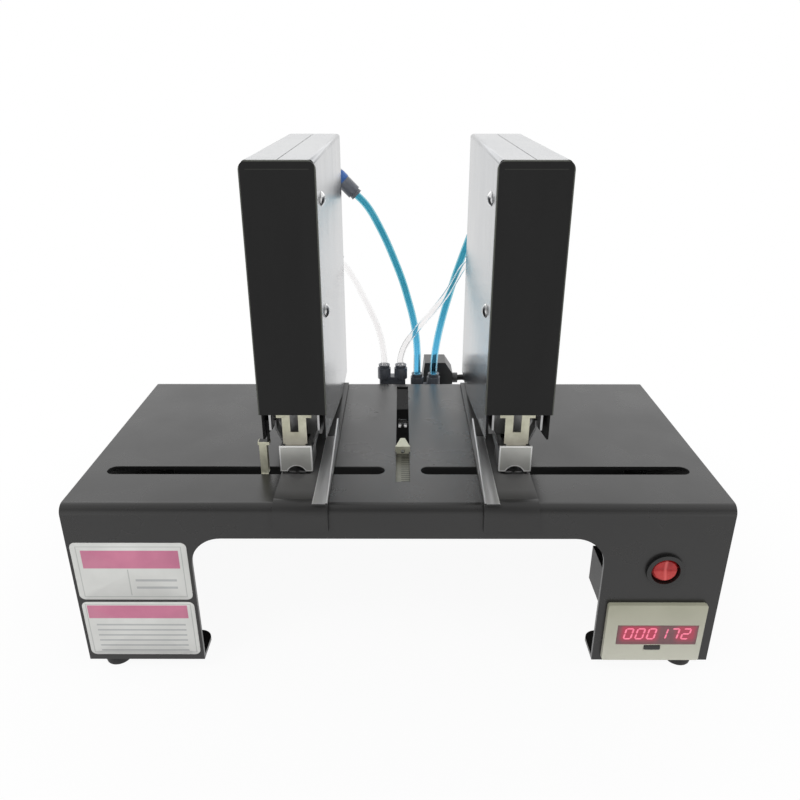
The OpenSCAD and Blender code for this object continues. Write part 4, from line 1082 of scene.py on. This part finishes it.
def make_figures(finish):
    """Lit figures of seven bars: each bar is a flat six-sided prism from end to end, and a figure leans
    by x + s z."""
    low, high = (np.array(corner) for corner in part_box("counter_window"))
    w, h = FIGURE_W, FIGURE_H
    ends = {
        "a": ((0, h), (w, h)), "b": ((w, h), (w, h / 2)), "c": ((w, h / 2), (w, 0)), "d": ((0, 0), (w, 0)),
        "e": ((0, 0), (0, h / 2)), "f": ((0, h / 2), (0, h)), "g": ((0, h / 2), (w, h / 2)),
    }
    row = (len(FIGURES) - 1) * FIGURE_PITCH + w
    lit = [(place, ends[bar]) for place, figure in enumerate(FIGURES) for bar in BARS[figure]]
    start = np.array([np.add(bar[0], (place * FIGURE_PITCH, 0)) for place, bar in lit])
    end = np.array([np.add(bar[1], (place * FIGURE_PITCH, 0)) for place, bar in lit])
    along = unit(end - start)
    across = np.stack([-along[:, 1], along[:, 0]], axis=1)
    shoulder = BAR_GAP + BAR_HALF
    tips = [(start, BAR_GAP, 0), (start, shoulder, 1), (end, -shoulder, 1), (end, -BAR_GAP, 0),
            (end, -shoulder, -1), (start, shoulder, -1)]
    outline = np.stack([
        base + step * along + side * BAR_HALF * across for base, step, side in tips
    ], axis=1)
    outline[..., 0] += FIGURE_SLANT * outline[..., 1] - row / 2 - FIGURE_SLANT * h / 2
    outline[..., 1] += FIGURE_LIFT - h / 2
    corners = len(tips)
    points = np.empty((len(lit), 2, corners, 3))
    points[..., 0] = outline[:, None, :, 0] * MM + (low[0] + high[0]) / 2
    points[..., 1] = np.array(BAR_DEPTH)[None, :, None] * MM + low[1]
    points[..., 2] = outline[:, None, :, 1] * MM + (low[2] + high[2]) / 2
    sides = grid_faces(2, corners, join_columns=True).tolist()
    prism = sides + [list(range(corners)), list(range(corners, 2 * corners))]
    points, faces = joined([(bar.reshape(-1, 3), prism) for bar in points])
    figures = make_piece("counter_figures", points, faces, finish, smooth=False)
    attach(figures, "table")


INWARDS = {"left": 1.0, "right": -1.0}
ELBOWS = {"high": (8.0, 238.0, 168.0), "low": (6.5, 226.0, 104.0)}
COLLARS = {"high": (9.0, 16.0), "low": (6.8, 9.4)}
COLLAR_R = 6.15
COLLAR_BORE = 5.7
COLLAR_EDGE = (0.4, 0.3)


def make_collars(side, finish):
    """A round-edged blue ring on the outlet of each elbow, turned about the outlet's axis."""
    collars = []
    for place, (x, y, z) in ELBOWS.items():
        start, end = COLLARS[place]
        along, down = COLLAR_EDGE
        shape = np.array([
            (start, COLLAR_BORE), (start, COLLAR_R - down), (start + along, COLLAR_R),
            (end - along, COLLAR_R), (end, COLLAR_R - down), (end, COLLAR_BORE), (start, COLLAR_BORE),
        ]) * MM
        straight = side == "right" and place == "high"
        axis = (0, 0, -1) if straight else (INWARDS[side], 0, -1)
        centre = on_table((HEAD_X[side] + INWARDS[side] * x, y, z))
        collars.append(turned(shape, centre, axis))
    points, faces = joined(collars)
    piece = make_piece(side + "_elbow_collars", points, faces, finish)
    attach(piece, side + "_head")


# Dressing the solid pieces

EDGES = {
    "table_shell": 0.5, "rubber_feet": 1.2, "switch_bezel": 0.5, "switch_rocker": 0.25,
    "counter_housing": 0.6, "counter_window": 0.15, "reset_button": 0.3, "depth_stop": 0.2,
    "microswitch": 0.3, "valve_body": 0.6, "solenoid_coil": 0.8, "coil_plug": 1.0, "y_fittings": 0.4,
    "air_inlet": 0.4, "silencers": 0.3, "guide_post": 0.3, "base_plate": 0.4, "guide_rail": 0.2,
    "anvil": 0.15, "front_plate": 1.1, "outer_cover": 0.2, "inner_cover": 0.2, "frame": 0.2, "arm": 0.4,
    "cylinder": 0.5, "driver": 0.12, "nose": 0.25, "magazine": 0.15, "pusher": 0.1, "clamp_knob": 1.0,
    "air_elbows": 0.4,
}
WELD_GAP = 1e-6
EDGE_ANGLE = 40
EDGE_STEPS = 2


def soften(node, width):
    """Rounds a solid's sharp edges by a width in millimetres, with its loose triangles welded first."""
    weld = nodes[node].modifiers.new("weld", "WELD")
    weld.merge_threshold = WELD_GAP
    bevel = nodes[node].modifiers.new("edges", "BEVEL")
    bevel.limit_method = "ANGLE"
    bevel.angle_limit = math.radians(EDGE_ANGLE)
    bevel.width = width * MM
    bevel.segments = EDGE_STEPS
    bevel.harden_normals = True
    bevel.use_clamp_overlap = True


def dress(finish, *names):
    """Gives solids a finish and their round edges."""
    for name in names:
        slots = nodes[name].data.materials
        slots.clear()
        slots.append(finish)
        side, _, rest = name.partition("_")
        width = EDGES.get(rest if side in SIDES else name)
        if width:
            soften(name, width)


def on_both(*names):
    """The names of a piece on the left and the right head."""
    return [side + "_" + name for side in SIDES for name in names]


black_plastic = moulded_black()
wire_steel = plain_steel()
aluminium = cast_aluminium()
fittings = fitting_plastic()
collars = collar_blue()
screws = screw_steel()

dress(bench_paint(), "table_shell")
dress(base_paint(), *on_both("base_plate"))
dress(plate_paint(), *on_both("front_plate"))
dress(foot_rubber(), "rubber_feet")
dress(moulded_black("switch_black", 0.008, 0.2, 0.32), "switch_bezel", "reset_button")
dress(rocker_red(), "switch_rocker")
dress(counter_shell(), "counter_housing")
dress(window_red(), "counter_window")
dress(stop_scale(), "depth_stop")
dress(black_plastic, "microswitch", "solenoid_coil", *on_both("clamp_knob"))
dress(moulded_black("plug_plastic", 0.09, 0.3, 0.45), "coil_plug")
dress(aluminium, "valve_body", *on_both("cylinder"))
dress(fittings, "y_fittings", "air_inlet", *on_both("air_elbows"))
dress(sintered_brass(), "silencers")
dress(post_zinc(), "left_guide_post")
dress(driver_zinc(), *on_both("driver"))
dress(cover_steel(), *on_both("outer_cover", "inner_cover"))
dress(lever_steel(), "trigger_lever")
dress(rail_steel(), *on_both("guide_rail"))
dress(nose_steel(), *on_both("nose"))
dress(wire_steel, *on_both("frame", "arm", "anvil", "piston", "magazine", "pusher"))
dress(staple_wire(), *on_both("staples"))

for side in SIDES:
    make_spring(side, wire_steel)
    make_screws(side, screws)
    make_collars(side, collars)

FILM_LINE = (0.008, 0.012)
upper_film = plate_film(
    "upper_film", band=(0.085, 0.925, 0.56, 0.87), border=(0.045, 0.955, 0.05, 0.94), line=FILM_LINE,
    rules=((0.52, 0.88, 0.2, 0.46), 2, 0.3), divider=(0.46, 0.47, 0.08, 0.54))
lower_film = plate_film(
    "lower_film", band=(0.045, 0.935, 0.7, 0.94), border=(0.03, 0.97, 0.04, 0.965), line=FILM_LINE,
    rules=((0.1, 0.9, 0.07, 0.66), 6, 0.3))
make_front_plate("upper_plate", upper_film)
make_front_plate("lower_plate", lower_film)
make_figures(figure_light())


# The floor and the light

FLOOR_HALF = 3.0
FLOOR_GREY = 0.85
FLOOR_ROUGH = 0.9
FLOOR_WHITE = 0.94
FLOOR_SHADE = (0.2, 0.42)


def make_floor():
    """A wide pale floor, white where it shows, that keeps a soft share of the shadow under the machine."""
    paper = Finish("studio_floor", Base_Color=(*grey(FLOOR_GREY), 1), Roughness=FLOOR_ROUGH)
    away = paper.node("VectorMath", [paper.place], operation="LENGTH").outputs["Value"]
    clean = paper.node("MapRange", [away, *FLOOR_SHADE, FLOOR_WHITE, 1.0], interpolation_type="SMOOTHSTEP")
    share = paper.both(paper.background_rays(), clean.outputs["Result"])
    paper.laid_over(share, paper.shader, paper.node("Emission"), "Material Output")
    side = np.array([-FLOOR_HALF, FLOOR_HALF])
    x, y = np.meshgrid(side, side)
    points = np.stack([x, y, np.zeros_like(x)], axis=-1).reshape(-1, 3)
    make_piece("studio_floor", points, grid_faces(2, 2), paper.material)


SKY_WHITE = (1, 1, 1, 1)
SKY_LIGHT = 0.5
FLAG_SHADE = 0.55
FLAG_FRONT = (0.0, -0.6)
FLAG_UP = (0.0, 0.4)
LAMPS = {
    "key_box": ((-0.9, -1.1, 1.7), 1.0, 1.0, 15),
    "fill_box": ((1.3, -0.8, 1.1), 0.9, 0.9, 6),
    "back_box": ((0.0, 1.4, 0.95), 3.0, 0.7, 3.1, True),
}


def make_lamp(name, place, width, height, power, mirrored=False):
    """A soft box that faces the machine. Polished pieces mirror it only where that is asked for, and it
    doesn't shine through the hoses."""
    lamp = bpy.data.lights.new(name, "AREA")
    lamp.shape = "RECTANGLE"
    lamp.size = width
    lamp.size_y = height
    lamp.energy = power
    stand = bpy.data.objects.new(name, lamp)
    aim = (solid_low + solid_high) / 2
    stand.location = place
    stand.rotation_euler = (aim - stand.location).to_track_quat("-Z", "Y").to_euler()
    stand.visible_glossy = mirrored
    stand.visible_transmission = False
    stand.visible_camera = False
    bpy.context.scene.collection.objects.link(stand)


def flagged_sky(sky):
    """The sky that polished pieces mirror: 1, less a share that grows towards the upper front, where a dark
    flag hangs, as front times up."""
    _, y, z = sky.axes(sky.node("TexCoord").outputs["Generated"])
    mirrored = sky.node("LightPath").outputs["Is Glossy Ray"]
    shade = sky.both(mirrored, sky.spread(y, 0, 1, *FLAG_FRONT), sky.spread(z, 0, 1, *FLAG_UP))
    return sky.spread(shade, 1, 1 - FLAG_SHADE, 0, 1)


def light_the_studio():
    """A white sky that shows as it is, at half strength as light, with a dark flag in front, a key above,
    a fill and a wide box behind that the table's top mirrors."""
    world = bpy.data.worlds.new("studio_sky")
    bpy.context.scene.world = world
    world.use_nodes = True
    sky = Wiring(world.node_tree)
    soft = sky.tree.nodes["Background"]
    soft.inputs["Color"].default_value = SKY_WHITE
    soft.inputs["Strength"].default_value = SKY_LIGHT
    white = sky.node("Background", [SKY_WHITE, flagged_sky(sky)])
    sky.laid_over(sky.background_rays(), soft, white, "World Output")
    for name, lamp in LAMPS.items():
        make_lamp(name, *lamp)


make_floor()
light_the_studio()
bpy.context.scene.view_settings.view_transform = "Standard"
